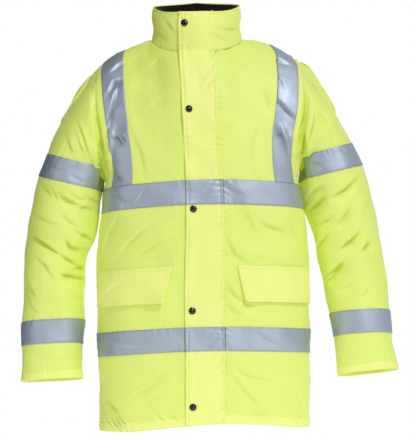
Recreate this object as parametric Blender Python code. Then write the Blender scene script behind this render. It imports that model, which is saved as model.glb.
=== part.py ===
"""A hi-vis work jacket, filled out as worn: a padded parka with a stand collar, a storm flap
closed by five press studs, two pocket flaps and bands of grey reflective tape.

Every cloth piece is a closed wall. Its outer face is read from one of three forms, for the body,
the sleeves and the collar, and its inner face lies one wall thickness further in. What is sewn on
a panel is read from the same form and lies just outside it. Sizes are in millimetres.
+Z is up, the front faces -Y, and the wearer's left is +X. The origin is the middle of the base
of the neck, between the two points where the shoulder seams meet the collar.
"""

import bmesh
import bpy
import numpy as np

MM = 0.001

# ---- cloth and trim ----
WALL = 2.6  # padded shell of a panel
FLAP_WALL = 2.2
COLLAR_WALL = 2.4
LINING_WALL = 2.0
TAPE_WALL = 1.0
SEAM_GAP = 0.3
SLEEVE_GAP = 0.45
SNAP_RADIUS = 7.5
SNAP_HEIGHT = 3.6
SNAP_SIDES = 16

# ---- body ----
ARMPIT_Z = -304.0  # height of the underarm point
HEM_Z = -829.0  # hem at the side seams
YOKE_RISE = 285.0  # length of front or back from the underarm row to the top
CORNER_TURN = 66.0  # the armhole leaves the underarm row here
NECK_TURN = 25.7  # the column that ends where collar and shoulder seam meet
FLAP_TURN = 10.3  # edges of the storm flap
BRACE_TURNS = (39.0, 54.0)  # edges of the shoulder brace
NECK_HALF_WIDTH = 97.0
NECK_MIDDLE_Y = 5.0
SWING_IN_FRONT = 0.75  # share of the closure's swing that only the front takes

# Rings of the body below the arms. Columns: height at the side seam, half width, depth of the
# front, depth of the back, squareness, rise of the ring at the middle of the front and of the back.
BODY_SECTIONS = {
    "hem": (HEM_Z, 224.5, 130, 120, 3.0, 14, 6),
    "above_hem": (-790.0, 225.0, 131, 121, 3.0, 13, 6),
    "hip": (-736.0, 225.5, 132, 122, 3.0, 14, 7),
    "low_tape_bottom": (-675.0, 226.0, 132, 124, 3.0, 14, 9),
    "low_tape_top": (-625.0, 226.0, 131, 124, 3.0, 14, 9),
    "below_pocket": (-575.0, 226.0, 130, 122, 3.0, 11, 6),
    "pocket": (-530.0, 226.5, 129, 120, 3.05, 12, 6),
    "waist": (-480.0, 227.0, 128, 117, 3.1, 15, 7),
    "ribs": (-422.0, 221.5, 128, 118, 3.2, 17, 8),
    "chest_tape_bottom": (-371.0, 215.5, 129, 121, 3.3, 17, 8),
    "chest_tape_top": (-320.0, 208.5, 129, 124, 3.4, 17, 8),
    "underarm": (ARMPIT_Z, 205.5, 128, 125, 3.4, 17, 8),
}
# Front and back edge of the armhole, from above the underarm row to the shoulder: x, y, z.
ARMHOLE_FRONT = {
    "deep": (200.0, -74.0, -262.0),
    "low": (206.0, -86.0, -208.0),
    "middle": (212.0, -82.0, -146.0),
    "high": (214.5, -50.0, -90.0),
}
ARMHOLE_BACK = {
    "deep": (202.0, 80.0, -260.0),
    "low": (207.0, 93.0, -202.0),
    "middle": (212.0, 84.0, -140.0),
    "high": (213.5, 52.0, -89.0),
}
# Columns of a panel between the middle and the neck point, and the angle round the neck they reach.
NECK_COLUMNS = {
    "middle": (0.0, 0.0),
    "flap_middle": (FLAP_TURN / 2, 11.2),
    "flap_edge": (FLAP_TURN, 22.4),
    "neck_side": (18.0, 54.0),
    "neck_point": (NECK_TURN, 90.0),
}
# Shoulder seam: the column of the panel, then x, y, z.
SHOULDER_SEAM = {
    "neck": (NECK_TURN, NECK_HALF_WIDTH, NECK_MIDDLE_Y, 0.0),
    "slope": (32.3, 125.0, 7.0, -6.5),
    "brace_inner": (BRACE_TURNS[0], 154.0, 8.0, -17.5),
    "brace_middle": (46.5, 179.0, 8.0, -31.0),
    "brace_outer": (BRACE_TURNS[1], 201.0, 8.0, -45.5),
    "tip": (CORNER_TURN, 214.0, 8.0, -55.0),
}
# The way in which each column of a panel reaches the neck or the shoulder seam: column, x, y, z.
FRONT_REACHES_TOP = {
    "middle": (0.0, 0.0, 0.62, 0.78),
    "neck_front": (12.0, -0.04, 0.72, 0.69),
    "neck": (NECK_TURN, -0.16, 0.92, 0.36),
    "slope": (40.0, -0.04, 1.0, 0.16),
    "tip": (CORNER_TURN, 0.0, 1.0, 0.10),
}
BACK_REACHES_TOP = {
    "middle": (0.0, 0.0, -0.40, 0.92),
    "neck_back": (12.0, -0.04, -0.58, 0.80),
    "neck": (NECK_TURN, -0.16, -0.92, 0.36),
    "slope": (40.0, -0.04, -1.0, 0.16),
    "tip": (CORNER_TURN, 0.0, -1.0, 0.10),
}
# The closure isn't straight: it swings to the wearer's left at the chest. Columns: z, x.
CLOSURE_SWING = {
    "hem": (HEM_Z, 0.0),
    "low_tape": (-640.0, 4.0),
    "pocket": (-540.0, 4.5),
    "waist": (-456.0, 8.0),
    "ribs": (-366.0, 9.6),
    "chest": (-300.0, 8.5),
    "bust": (-240.0, 5.4),
    "yoke": (-160.0, 3.8),
    "collarbone": (-75.0, 1.5),
    "neck": (-20.0, -2.5),
    "collar": (60.0, -1.5),
}
# The shoulder braces bow outward between their ends. Columns: share of the yoke's height, then how
# far on the wearer's right and left.
BRACE_BOW = {
    "tape": (0.0, 0, 0),
    "armpit": (0.15, 3, 5),
    "low": (0.28, 6, 8),
    "middle": (0.43, 7, 15),
    "chest": (0.7, 6, 16),
    "collarbone": (0.84, 3, 11),
    "shoulder": (0.93, 1, 4),
    "seam": (1.0, 0, 0),
}
BOW_REACH = {  # column of the front, share of the bow that it takes
    "plain": (16.0, 0.0),
    "beside": (30.0, 0.6),
    "brace_inner": (BRACE_TURNS[0], 1.0),
    "brace_outer": (BRACE_TURNS[1], 0.88),
    "armhole": (CORNER_TURN, 0.6),
    "under_arm": (90.0, 0.0),
}
# How much higher the wearer's left shoulder sits. Columns: column of the panel, height.
LEFT_SHOULDER = {
    "neck": (NECK_TURN, 0.0),
    "slope": (32.3, 3.6),
    "brace_inner": (BRACE_TURNS[0], 3.9),
    "brace_middle": (46.5, 3.3),
    "brace_outer": (BRACE_TURNS[1], 4.6),
    "tip": (CORNER_TURN, 7.1),
}
# The hem of the front hangs unevenly. Columns: x, how much lower it is.
HEM_DROP = {
    "right_side": (-225.0, 3.0),
    "right": (-150.0, 8.0),
    "right_front": (-65.0, 4.0),
    "middle": (10.0, 0.0),
    "left_front": (125.0, 0.0),
    "left": (195.0, 4.0),
    "left_side": (225.0, 2.0),
}
HEM_DROP_STARTS = -380.0  # rise below which it drops
HEM_DROP_SPAN = 145.0  # length over which it does

# ---- neck and collar ----
NECK_FRONT_Z = -33.0
NECK_BACK_Z = 15.0
COLLAR_SECTIONS = {  # share of the collar's height, half width, depth to the front and to the back
    "seam": (0.0, NECK_HALF_WIDTH, 85.0, 77.0),
    "waist": (0.35, 93.0, 91.0, 80.0),
    "roll": (0.7, 96.0, 94.0, 79.0),
    "edge": (1.0, 93.0, 92.0, 75.0),
}
COLLAR_EDGE = {  # angle round the neck from the front, height of the top edge
    "front": (0.0, 53.0),
    "front_corner": (40.0, 55.0),
    "side": (90.0, 72.0),
    "back": (180.0, 87.0),
}

# ---- sleeves ----
# Rings of each sleeve: the middle of the ring, its half width across, its half depth from front to
# back, its tilt (outer side up) and its lean (front side up), in degrees, and how far it dips and
# is tucked in under the arm.
SLEEVE_SECTIONS = {
    "right": {
        "tape_top": (267.0, 4, -255, 61.5, 83, 16, 0, 26, 2),
        "tape_bottom": (278.0, 4, -303, 68.5, 84, 14, 0, 3, 1),
        "upper_arm": (285.0, 3, -338, 71.5, 83, 10, 0, 0, 0),
        "upper_elbow": (293.0, 2, -378, 73.0, 81, 6, 0, 0, 0),
        "above_elbow": (302.0, 1, -424, 72.5, 79, 3, 0, 0, 0),
        "elbow": (314.0, -1, -470, 66.5, 75, -2, 2, 0, 0),
        "below_elbow": (315.5, -4, -514, 67.0, 71, -1, 5, 0, 0),
        "forearm": (317.5, -9, -556, 66.0, 65, -1, 7, 0, 0),
        "low_tape_top": (319.5, -13, -598, 65.8, 59, -2, 8, 0, 0),
        "low_tape_bottom": (322.5, -20, -648, 64.2, 53, -2, 8, 0, 0),
        "wrist": (323.0, -27, -694, 64.0, 46, -2, 7, 0, 0),
        "cuff": (324.5, -31, -722, 65.0, 43, -2, 7, 0, 0),
    },
    "left": {
        "tape_top": (273.1, 4, -242.5, 53.1, 83, 14, 0, 32, 6),
        "tape_bottom": (285.5, 4, -290.5, 64.5, 84, 12.5, 0, 8, 9),
        "upper_arm": (291.5, 3, -331, 70.0, 83, 10, 0, 0, 8),
        "upper_elbow": (300.0, 2, -373, 71.5, 81, 6, 0, 0, 4),
        "above_elbow": (310.5, 1, -418, 71.0, 79, 2, 0, 0, 0),
        "elbow": (318.0, -1, -466, 70.0, 75, -2, 2, 0, 0),
        "below_elbow": (325.0, -5, -510, 68.5, 71, -1, 5, 0, 0),
        "forearm": (330.5, -10, -552, 66.5, 65, 1, 7, 0, 0),
        "low_tape_top": (336.5, -16, -591, 63.5, 59, 2, 8, 0, 0),
        "low_tape_bottom": (341.0, -24, -640, 62.0, 53, 2, 9, 0, 0),
        "wrist": (346.5, -31, -688, 62.5, 46, 4, 9, 0, 0),
        "cuff": (350.5, -36, -719, 64.5, 43, 5, 9, 0, 0),
    },
}
SLEEVE_SQUARENESS = 2.3
DIP_POWER = 16  # the higher, the less of the ring dips
TUCK_POWER = 6
TUCK_ANGLE = 190.0  # middle of what is tucked in, a little behind the underarm seam
# How each sleeve head leaves the armhole: angle round it from the shoulder to the front and on,
# then how far it goes outward, forward and down.
SLEEVE_HEAD = {
    "right": {
        "shoulder": (0.0, 160.0, 0.0, 40.0),
        "front_high": (45.0, 110.0, 22.0, 50.0),
        "front": (90.0, 55.0, 42.0, 45.0),
        "front_low": (130.0, 28.0, 40.0, 15.0),
        "front_corner": (150.0, 24.0, 14.0, 0.0),
        "underarm": (180.0, 20.0, 0.0, 0.0),
        "back_corner": (210.0, 24.0, 0.0, 0.0),
        "back_low": (230.0, 34.0, -10.0, 15.0),
        "back": (270.0, 60.0, -30.0, 45.0),
        "back_high": (315.0, 110.0, -14.0, 50.0),
        "shoulder_again": (360.0, 160.0, 0.0, 40.0),
    },
    "left": {
        "shoulder": (0.0, 166.0, 0.0, -10.0),
        "front_high": (45.0, 179.0, 22.0, 42.0),
        "front": (90.0, 55.0, 42.0, 45.0),
        "front_low": (130.0, 28.0, 40.0, 15.0),
        "front_corner": (150.0, 24.0, 14.0, 0.0),
        "underarm": (180.0, 20.0, 0.0, 0.0),
        "back_corner": (210.0, 24.0, 0.0, 0.0),
        "back_low": (230.0, 34.0, -10.0, 15.0),
        "back": (270.0, 60.0, -30.0, 45.0),
        "back_high": (315.0, 179.0, -14.0, 42.0),
        "shoulder_again": (360.0, 166.0, 0.0, -10.0),
    },
}
SHORTEST_HEAD = 26.0
EDGE_SPAN = 150.0  # angle that each armhole edge takes of the turn round the sleeve

# ---- largest folds: a soft trough. Columns: x and z of one end, of the other, depth, reach ----
FOLD_AT_ENDS = 0.35  # share of its depth that a fold still has at its ends
BODY_FRONT_FOLDS = {
    "right_chest": (-135, -405, -205, -470, 5, 22),
    "right_waist": (-85, -415, -200, -488, 4, 20),
    "left_waist": (65, -420, 180, -460, 5, 22),
    "left_side": (135, -390, 215, -425, 4, 20),
    "right_brace": (-182, -150, -160, -205, 6, 18),
    "left_brace": (163, -165, 196, -215, 6, 18),
    "right_shoulder": (-130, -40, -190, -105, 4, 18),
    "right_hem": (-215, -745, -180, -790, 4, 22),
}
BODY_BACK_FOLDS = {
    "blade_right": (-95, -190, -180, -285, 5, 24),
    "blade_left": (100, -180, 185, -270, 5, 24),
    "waist_right": (-60, -430, -190, -490, 5, 22),
    "waist_left": (75, -440, 195, -480, 5, 22),
}
SLEEVE_FRONT_FOLDS = {
    "right": {
        "head": (-250, -170, -215, -235, 6, 20),
        "under_tape": (-318, -326, -240, -365, 6, 18),
        "elbow_long": (-368, -410, -252, -470, 9, 20),
        "elbow_short": (-290, -430, -240, -450, 5, 16),
        "elbow_wedge": (-305, -495, -250, -506, 6, 16),
    },
    "left": {
        "head": (262, -130, 262, -195, 5, 18),
        "under_tape": (258, -318, 232, -385, 9, 18),
        "upper_long": (330, -322, 255, -375, 6, 20),
        "middle": (325, -365, 290, -425, 7, 18),
        "elbow": (342, -415, 300, -465, 7, 18),
        "outer": (375, -430, 342, -462, 5, 16),
        "elbow_wedge": (308, -478, 270, -515, 6, 16),
    },
}
SLEEVE_BACK_FOLDS = {
    "right": {
        "elbow": (-365, -440, -270, -480, 8, 22),
        "upper": (-330, -345, -250, -385, 6, 22),
        "lower": (-370, -500, -280, -530, 6, 20),
    },
    "left": {
        "elbow": (375, -436, 280, -478, 8, 22),
        "upper": (340, -340, 255, -380, 6, 22),
        "lower": (380, -496, 295, -528, 6, 20),
    },
}

# ---- rows and columns of the solids ----
FRONT_TURNS = (
    (0.0, FLAP_TURN / 2, FLAP_TURN, 15.4, 20.5, NECK_TURN, 32.3)
    + (BRACE_TURNS[0], 46.5, BRACE_TURNS[1], CORNER_TURN)
)
UNDERARM_TURNS = (78.0, 90.0)
LOWER_ROWS = tuple(BODY_SECTIONS)[:-1]
UNDERARM_ROW = len(LOWER_ROWS)
YOKE_STEPS = 10
HEAD_STEPS = (0.0, 0.12, 0.3, 0.5, 0.75)
SLEEVE_TURNS = 24
COLLAR_ROWS = (0.0, 0.15, 0.4, 0.7, 0.97, 1.0)

SNAP_HEIGHTS = {"snap_1": 31.0, "snap_2": -153.0, "snap_3": -364.0, "snap_4": -576.0, "snap_5": -777.5}
SNAP_FROM_EDGE = 15.5

POCKET_FLAP = {"top": (-481.0, 16.6), "bottom": (-554.5, 21.2)}  # height at the front, inner end
POCKET_STANDS_OFF = (1.0, 3.4)  # top edge, bottom edge

FINISHES = {  # colour, roughness, metallic
    "hi_vis_yellow": ((0.80, 0.90, 0.16, 1.0), 0.62, 0.0),
    "reflective_tape": ((0.56, 0.60, 0.66, 1.0), 0.38, 0.3),
    "black_fleece": ((0.01, 0.01, 0.013, 1.0), 0.95, 0.0),
    "black_enamel": ((0.008, 0.008, 0.009, 1.0), 0.12, 0.0),
}


# ---- tables and vectors ----

def curve(table, at, key=0):
    """Reads a table's other columns on a smooth curve through its rows, by its key column."""
    rows = np.array(sorted((np.array(row, float) for row in table.values()), key=lambda row: row[key]))
    keys = rows[:, key]
    slopes = np.gradient(rows, keys, axis=0)
    at = np.clip(np.asarray(at, float), keys[0], keys[-1])
    i = np.clip(np.searchsorted(keys, at) - 1, 0, len(keys) - 2)
    span = (keys[i + 1] - keys[i])[..., None]
    s = ((at - keys[i])[..., None]) / span
    return (
        rows[i] * (1 + 2 * s) * (1 - s) ** 2
        + slopes[i] * span * s * (1 - s) ** 2
        + rows[i + 1] * s * s * (3 - 2 * s)
        - slopes[i + 1] * span * s * s * (1 - s)
    )


def unit(vectors):
    return vectors / np.maximum(np.linalg.norm(vectors, axis=-1, keepdims=True), 1e-9)


def stacked(x, y, z):
    return np.stack(np.broadcast_arrays(x, y, z), axis=-1).astype(float)


def rounded_box(c, s, squareness):
    """How far a ring stands out from its ellipse, by the cosine and sine of its angle."""
    return (np.abs(c) ** squareness + np.abs(s) ** squareness) ** (-1 / squareness)


def hermite(start, leave, end, arrive, s):
    s = np.asarray(s)[..., None]
    return (
        start * (1 + 2 * s) * (1 - s) ** 2
        + leave * s * (1 - s) ** 2
        + end * s * s * (3 - 2 * s)
        - arrive * s * s * (1 - s)
    )


def smooth_step(value):
    value = np.clip(value, 0, 1)
    return value * value * (3 - 2 * value)


def folded(points, normals, front_folds, back_folds):
    """Presses each fold of a table into the side of the cloth that it lies on."""
    depth = np.zeros(points.shape[:-1])
    for folds, facing in ((front_folds, -1), (back_folds, 1)):
        faces_it = smooth_step(normals[..., 1] * facing * 2.5 + 0.2)
        for x0, z0, x1, z1, deep, reach in folds.values():
            along = np.array((x1 - x0, z1 - z0), float)
            offset = points[..., (0, 2)] - (x0, z0)
            s = np.clip(offset @ along / (along @ along), 0, 1)
            away = np.linalg.norm(offset - s[..., None] * along, axis=-1)
            along_it = FOLD_AT_ENDS + (1 - FOLD_AT_ENDS) * np.sin(np.pi * s)
            depth += deep * np.exp(-((away / reach) ** 2)) * along_it * faces_it
    return points - normals * depth[..., None]


# ---- body form ----

def neck_angle(turn):
    """The angle round the neck that a column of the front reaches."""
    return curve(NECK_COLUMNS, turn)[..., 1]


def neck_ring(angle):
    """The neck seam, by the angle from the middle of the front, 0 to 180."""
    c, s = np.cos(np.radians(angle)), np.sin(np.radians(angle))
    _, half_width, front, back = COLLAR_SECTIONS["seam"]
    depth = np.where(c > 0, front, back)
    fall = np.where(c > 0, NECK_FRONT_Z, -NECK_BACK_Z)
    return stacked(half_width * s, NECK_MIDDLE_Y - depth * c, fall * c)


def body_ring(turn, side_z):
    section = curve(BODY_SECTIONS, side_z)
    _, half_width, front, back, squareness, front_lift, back_lift = np.moveaxis(section, -1, 0)
    c, s = np.cos(np.radians(turn)), np.sin(np.radians(turn))
    depth = np.where(c > 0, front, back)
    lift = np.where(c > 0, front_lift, back_lift)
    out = rounded_box(c, s, squareness)
    return stacked(half_width * s * out, -depth * c * out, side_z + lift * c * c)


def top_line(turn):
    """Neck seam and shoulder seam, by the column of the panel below."""
    from_middle = np.minimum(turn, 180 - turn)
    on_neck = neck_angle(from_middle)
    neck = neck_ring(np.where(turn < 90, on_neck, 180 - on_neck))
    shoulder = curve(SHOULDER_SEAM, from_middle)[..., 1:]
    return np.where((from_middle < NECK_TURN)[..., None], neck, shoulder)


def armhole_edge(share, front):
    """Front or back edge of the armhole, from the underarm row (0) to the shoulder (1)."""
    corner = body_ring(np.array(CORNER_TURN if front else 180 - CORNER_TURN), np.array(ARMPIT_Z))
    middle = ARMHOLE_FRONT if front else ARMHOLE_BACK
    points = np.array([corner, *middle.values(), SHOULDER_SEAM["tip"][1:]], float)
    lengths = np.append(0, np.cumsum(np.linalg.norm(np.diff(points, axis=0), axis=1)))
    table = {i: (length, *point) for i, (length, point) in enumerate(zip(lengths / lengths[-1], points))}
    return curve(table, share)[..., 1:]


def yoke_column(turn, share):
    """A column of the front or back above the underarm row, bent over to the shoulder."""
    bottom = body_ring(turn, np.full_like(turn, ARMPIT_Z))
    below = body_ring(turn, np.full_like(turn, ARMPIT_Z - 4.0))
    leave = unit(bottom - below) * YOKE_RISE
    from_middle = np.minimum(turn, 180 - turn)
    front, back = (curve(table, from_middle)[..., 1:] for table in (FRONT_REACHES_TOP, BACK_REACHES_TOP))
    arrive = unit(np.where((turn < 90)[..., None], front, back)) * YOKE_RISE * 0.9
    return hermite(bottom, leave, top_line(turn), arrive, share)


def body_side(turn, rise):
    """The body form on the side of +X, without the swing of the closure."""
    turn, rise = np.broadcast_arrays(np.asarray(turn, float), np.asarray(rise, float))
    lower = body_ring(turn, ARMPIT_Z + np.minimum(rise, 0))
    share = np.clip(rise / YOKE_RISE, 0, 1)
    corner = np.where(turn < 90, np.minimum(turn, CORNER_TURN), np.maximum(turn, 180 - CORNER_TURN))
    upper = yoke_column(corner, share)
    from_middle = np.minimum(corner, 180 - corner)
    weight = np.clip((from_middle - NECK_TURN) / (CORNER_TURN - NECK_TURN), 0, 1) ** 2
    for front, here in ((True, corner < 90), (False, corner >= 90)):
        at_corner = np.full_like(turn, CORNER_TURN if front else 180 - CORNER_TURN)
        edge = armhole_edge(share, front) - yoke_column(at_corner, share)
        upper = upper + edge * (weight * here)[..., None]
    return np.where((rise > 0)[..., None], upper, lower)


def body_form(turn, rise):
    """A point of the body. turn runs from the middle of the front, 0, to +-180 at the back; rise
    from the underarm row, down to the hem below 0 and up to neck and shoulder at YOKE_RISE."""
    turn = (np.asarray(turn, float) + 180) % 360 - 180
    side = np.where(turn < 0, -1.0, 1.0)
    point = body_side(np.abs(turn), rise)
    swing = curve(CLOSURE_SWING, point[..., 2])[..., 1]
    top = smooth_step(np.asarray(rise, float) / YOKE_RISE)
    round_neck = np.cos(np.radians(neck_angle(np.abs(turn))))
    in_front = np.clip(np.cos(np.radians(turn)), 0, 1) * (1 - top) + round_neck * top * (np.abs(turn) < 90)
    x = point[..., 0] * side + swing * (in_front * SWING_IN_FRONT + (1 - SWING_IN_FRONT) * (1 - top))
    front = np.abs(turn) < 90
    bow = curve(BRACE_BOW, np.asarray(rise, float) / YOKE_RISE)
    bow = np.where(side > 0, bow[..., 2], -bow[..., 1]) * curve(BOW_REACH, np.abs(turn))[..., 1] * front
    from_middle = np.minimum(np.abs(turn), 180 - np.abs(turn))
    raised = curve(LEFT_SHOULDER, from_middle)[..., 1] * top**2 * (side > 0)
    drop = curve(HEM_DROP, x)[..., 1] * smooth_step(np.cos(np.radians(turn)) * 2.5)
    drop = drop * smooth_step((HEM_DROP_STARTS - rise) / HEM_DROP_SPAN)
    return stacked(x + bow, point[..., 1], point[..., 2] + raised - drop)


def body_normals(turn, rise):
    step_turn, step_rise = 0.25, 0.6
    under_arm = np.abs(90 - np.abs(turn)) < 90 - CORNER_TURN
    highest = np.where(under_arm, 0.0, YOKE_RISE)
    across = body_form(turn + step_turn, rise) - body_form(turn - step_turn, rise)
    up = body_form(turn, np.minimum(rise + step_rise, highest)) - body_form(turn, rise - step_rise)
    return unit(np.cross(across, up))


def panel_normals(turn, rise):
    """Normals of the body that agree where front and back meet in the shoulder seam."""
    from_middle = np.minimum(np.abs(turn), 180 - np.abs(turn))
    near_seam = smooth_step((rise / YOKE_RISE - 0.97) / 0.03) * (from_middle > NECK_TURN - 0.1)
    across = body_normals(np.sign(turn) * (180 - np.abs(turn)), rise)
    return unit(body_normals(turn, rise) + across * near_seam[..., None])


def body_surface(turn, rise):
    """Points and normals of the body, with its folds."""
    turn, rise = np.broadcast_arrays(np.asarray(turn, float), np.asarray(rise, float))
    normals = panel_normals(turn, rise)
    return folded(body_form(turn, rise), normals, BODY_FRONT_FOLDS, BODY_BACK_FOLDS), normals


def rise_of(row):
    return BODY_SECTIONS[row][0] - ARMPIT_Z


# ---- sleeve form ----

def armhole_place(angle):
    """Where the sleeve's angle meets the body, as turn and rise."""
    angle = np.asarray(angle, float) % 360
    on_front = angle <= EDGE_SPAN
    on_back = angle >= 360 - EDGE_SPAN
    under = CORNER_TURN + (angle - EDGE_SPAN) / (360 - 2 * EDGE_SPAN) * (180 - 2 * CORNER_TURN)
    turn = np.where(on_front, CORNER_TURN, np.where(on_back, 180 - CORNER_TURN, under))
    rise = np.where(on_front, 1 - angle / EDGE_SPAN, np.where(on_back, 1 - (360 - angle) / EDGE_SPAN, 0))
    return turn, rise * YOKE_RISE


def armhole(angle, side):
    """Points of the armhole, the body's normals there, and the direction out of the panel."""
    sign = 1.0 if side == "left" else -1.0
    turn, rise = armhole_place(angle)
    points, normals = body_surface(turn * sign, rise)
    near = []
    for step in (-2, 2):
        turn, rise = armhole_place(np.asarray(angle) + step)
        near.append(body_surface(turn * sign, rise)[0])
    outward = unit(np.cross(normals, near[1] - near[0])) * sign
    return points, normals, outward


def sleeve_ring(angle, place, side):
    """A ring of the sleeve below its head; place counts the rows of the table."""
    rows = {name: (i, *row) for i, (name, row) in enumerate(SLEEVE_SECTIONS[side].items())}
    section = curve(rows, place)
    _, x, y, z, half_width, half_depth, tilt, lean, dip, tuck = np.moveaxis(section, -1, 0)
    c, s = np.cos(np.radians(angle)), np.sin(np.radians(angle))
    drop = dip * np.clip(-c, 0, 1) ** DIP_POWER
    x = x - tuck * np.clip(np.cos(np.radians(angle - TUCK_ANGLE)), 0, 1) ** TUCK_POWER
    out = rounded_box(c, s, SLEEVE_SQUARENESS)
    c, s = c * out, s * out
    tilt, lean = np.radians(tilt), np.radians(lean)
    sign = 1.0 if side == "left" else -1.0
    return stacked(
        sign * (x + half_width * c * np.cos(tilt)),
        y - half_depth * s * np.cos(lean),
        z + half_width * c * np.sin(tilt) + half_depth * s * np.sin(lean) - drop,
    )


def sleeve_form(angle, along, side):
    """along runs from -1 at the armhole to 0 at the first ring and on down the table's rows."""
    angle, along = np.broadcast_arrays(np.asarray(angle, float), np.asarray(along, float))
    start, _, outward = armhole(angle, side)
    head = curve(SLEEVE_HEAD[side], angle % 360)
    end = sleeve_ring(angle, 0 * along, side)
    down_sleeve = unit(sleeve_ring(angle, np.full_like(along, 0.1), side) - end)
    leave = outward * head[..., 1:2] + stacked(0 * along, -head[..., 2], -head[..., 3])
    reach = np.maximum(np.linalg.norm(end - start, axis=-1, keepdims=True), SHORTEST_HEAD)
    cap = hermite(start + outward * SLEEVE_GAP, leave, end, down_sleeve * reach, np.clip(along + 1, 0, 1))
    return np.where((along < 0)[..., None], cap, sleeve_ring(angle, np.maximum(along, 0), side))


def sleeve_surface(angle, along, side):
    angle, along = np.broadcast_arrays(np.asarray(angle, float), np.asarray(along, float))
    last = len(SLEEVE_SECTIONS[side]) - 1
    step = 0.02
    around = sleeve_form(angle + 1, along, side) - sleeve_form(angle - 1, along, side)
    above = sleeve_form(angle, np.maximum(along - step, -1), side)
    down = sleeve_form(angle, np.minimum(along + step, last), side) - above
    normals = unit(np.cross(around, down)) * (1.0 if side == "left" else -1.0)
    _, at_armhole, _ = armhole(angle, side)
    seam = (1 - smooth_step((along + 1) / 0.1))[..., None]
    normals = unit(normals * (1 - seam) + at_armhole * seam)
    points = sleeve_form(angle, along, side)
    free = smooth_step((along + 1) / 0.3)[..., None]
    pressed = folded(points, normals, SLEEVE_FRONT_FOLDS[side], SLEEVE_BACK_FOLDS[side])
    return points * (1 - free) + pressed * free, normals


# ---- collar form ----

def collar_form(angle, up):
    """angle runs from 0 at the front to +-180 at the back, up from the neck seam to the top edge."""
    angle = (np.asarray(angle, float) + 180) % 360 - 180
    angle, up = np.broadcast_arrays(angle, np.asarray(up, float))
    c, s = np.cos(np.radians(angle)), np.sin(np.radians(np.abs(angle)))
    _, half_width, front, back = np.moveaxis(curve(COLLAR_SECTIONS, up), -1, 0)
    base = neck_ring(np.abs(angle))
    top = curve(COLLAR_EDGE, np.abs(angle))[..., 1]
    z = base[..., 2] * (1 - up) + top * up
    swing = curve(CLOSURE_SWING, z)[..., 1] * np.clip(c, 0, 1) * SWING_IN_FRONT
    y = NECK_MIDDLE_Y - np.where(c > 0, front, back) * c
    return stacked(np.sign(angle) * half_width * s + swing, y, z)


def collar_surface(angle, up):
    angle, up = np.broadcast_arrays((np.asarray(angle, float) + 180) % 360 - 180, np.asarray(up, float))
    around = collar_form(angle + 0.5, up) - collar_form(angle - 0.5, up)
    rise = collar_form(angle, np.minimum(up + 0.02, 1)) - collar_form(angle, np.maximum(up - 0.02, 0))
    normals = unit(np.cross(around, rise))
    turns = np.linspace(0, NECK_TURN, 200)
    turn = np.interp(90 - np.abs(90 - np.abs(angle)), neck_angle(turns), turns)
    turn = np.where(np.abs(angle) > 90, 180 - turn, turn) * np.where(angle < 0, -1, 1)
    at_seam = panel_normals(turn, np.full_like(turn, YOKE_RISE))
    seam = (1 - smooth_step(up / 0.2))[..., None]
    return collar_form(angle, up), unit(normals * (1 - seam) + at_seam * seam)


# ---- making cloth ----

def finish_of(name):
    material = bpy.data.materials.get(name) or bpy.data.materials.new(name)
    colour, roughness, metallic = FINISHES[name]
    material.use_nodes = True
    shader = material.node_tree.nodes["Principled BSDF"]
    shader.inputs["Base Color"].default_value = colour
    shader.inputs["Roughness"].default_value = roughness
    shader.inputs["Metallic"].default_value = metallic
    material.diffuse_color = colour
    return material


def add_object(name, mesh_maker, finish):
    mesh = bpy.data.meshes.new(name)
    mesh_maker.to_mesh(mesh)
    mesh_maker.free()
    mesh.shade_smooth()
    mesh.materials.append(finish_of(finish))
    made = bpy.data.objects.new(name, mesh)
    bpy.context.scene.collection.objects.link(made)
    return made


# The cells of a wall's rim are split towards the end that lies further this way, so that two rims
# that face each other across a seam are split alike.
RIM_ORDER = np.array((0.11, 0.37, 1.0))


def falls(points, ring):
    """Whether a cell is split along its second diagonal, the shorter. What lies on a panel is
    made from the same points, so it is split in the same way."""
    p, q, s, t = (points[corner] for corner in ring)
    first, second = np.linalg.norm(p - s), np.linalg.norm(q - t)
    if abs(first - second) < 0.01:
        return abs(q[0]) + q[2] + abs(t[0]) + t[2] < abs(p[0]) + p[2] + abs(s[0]) + s[2]
    return second < first


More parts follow.
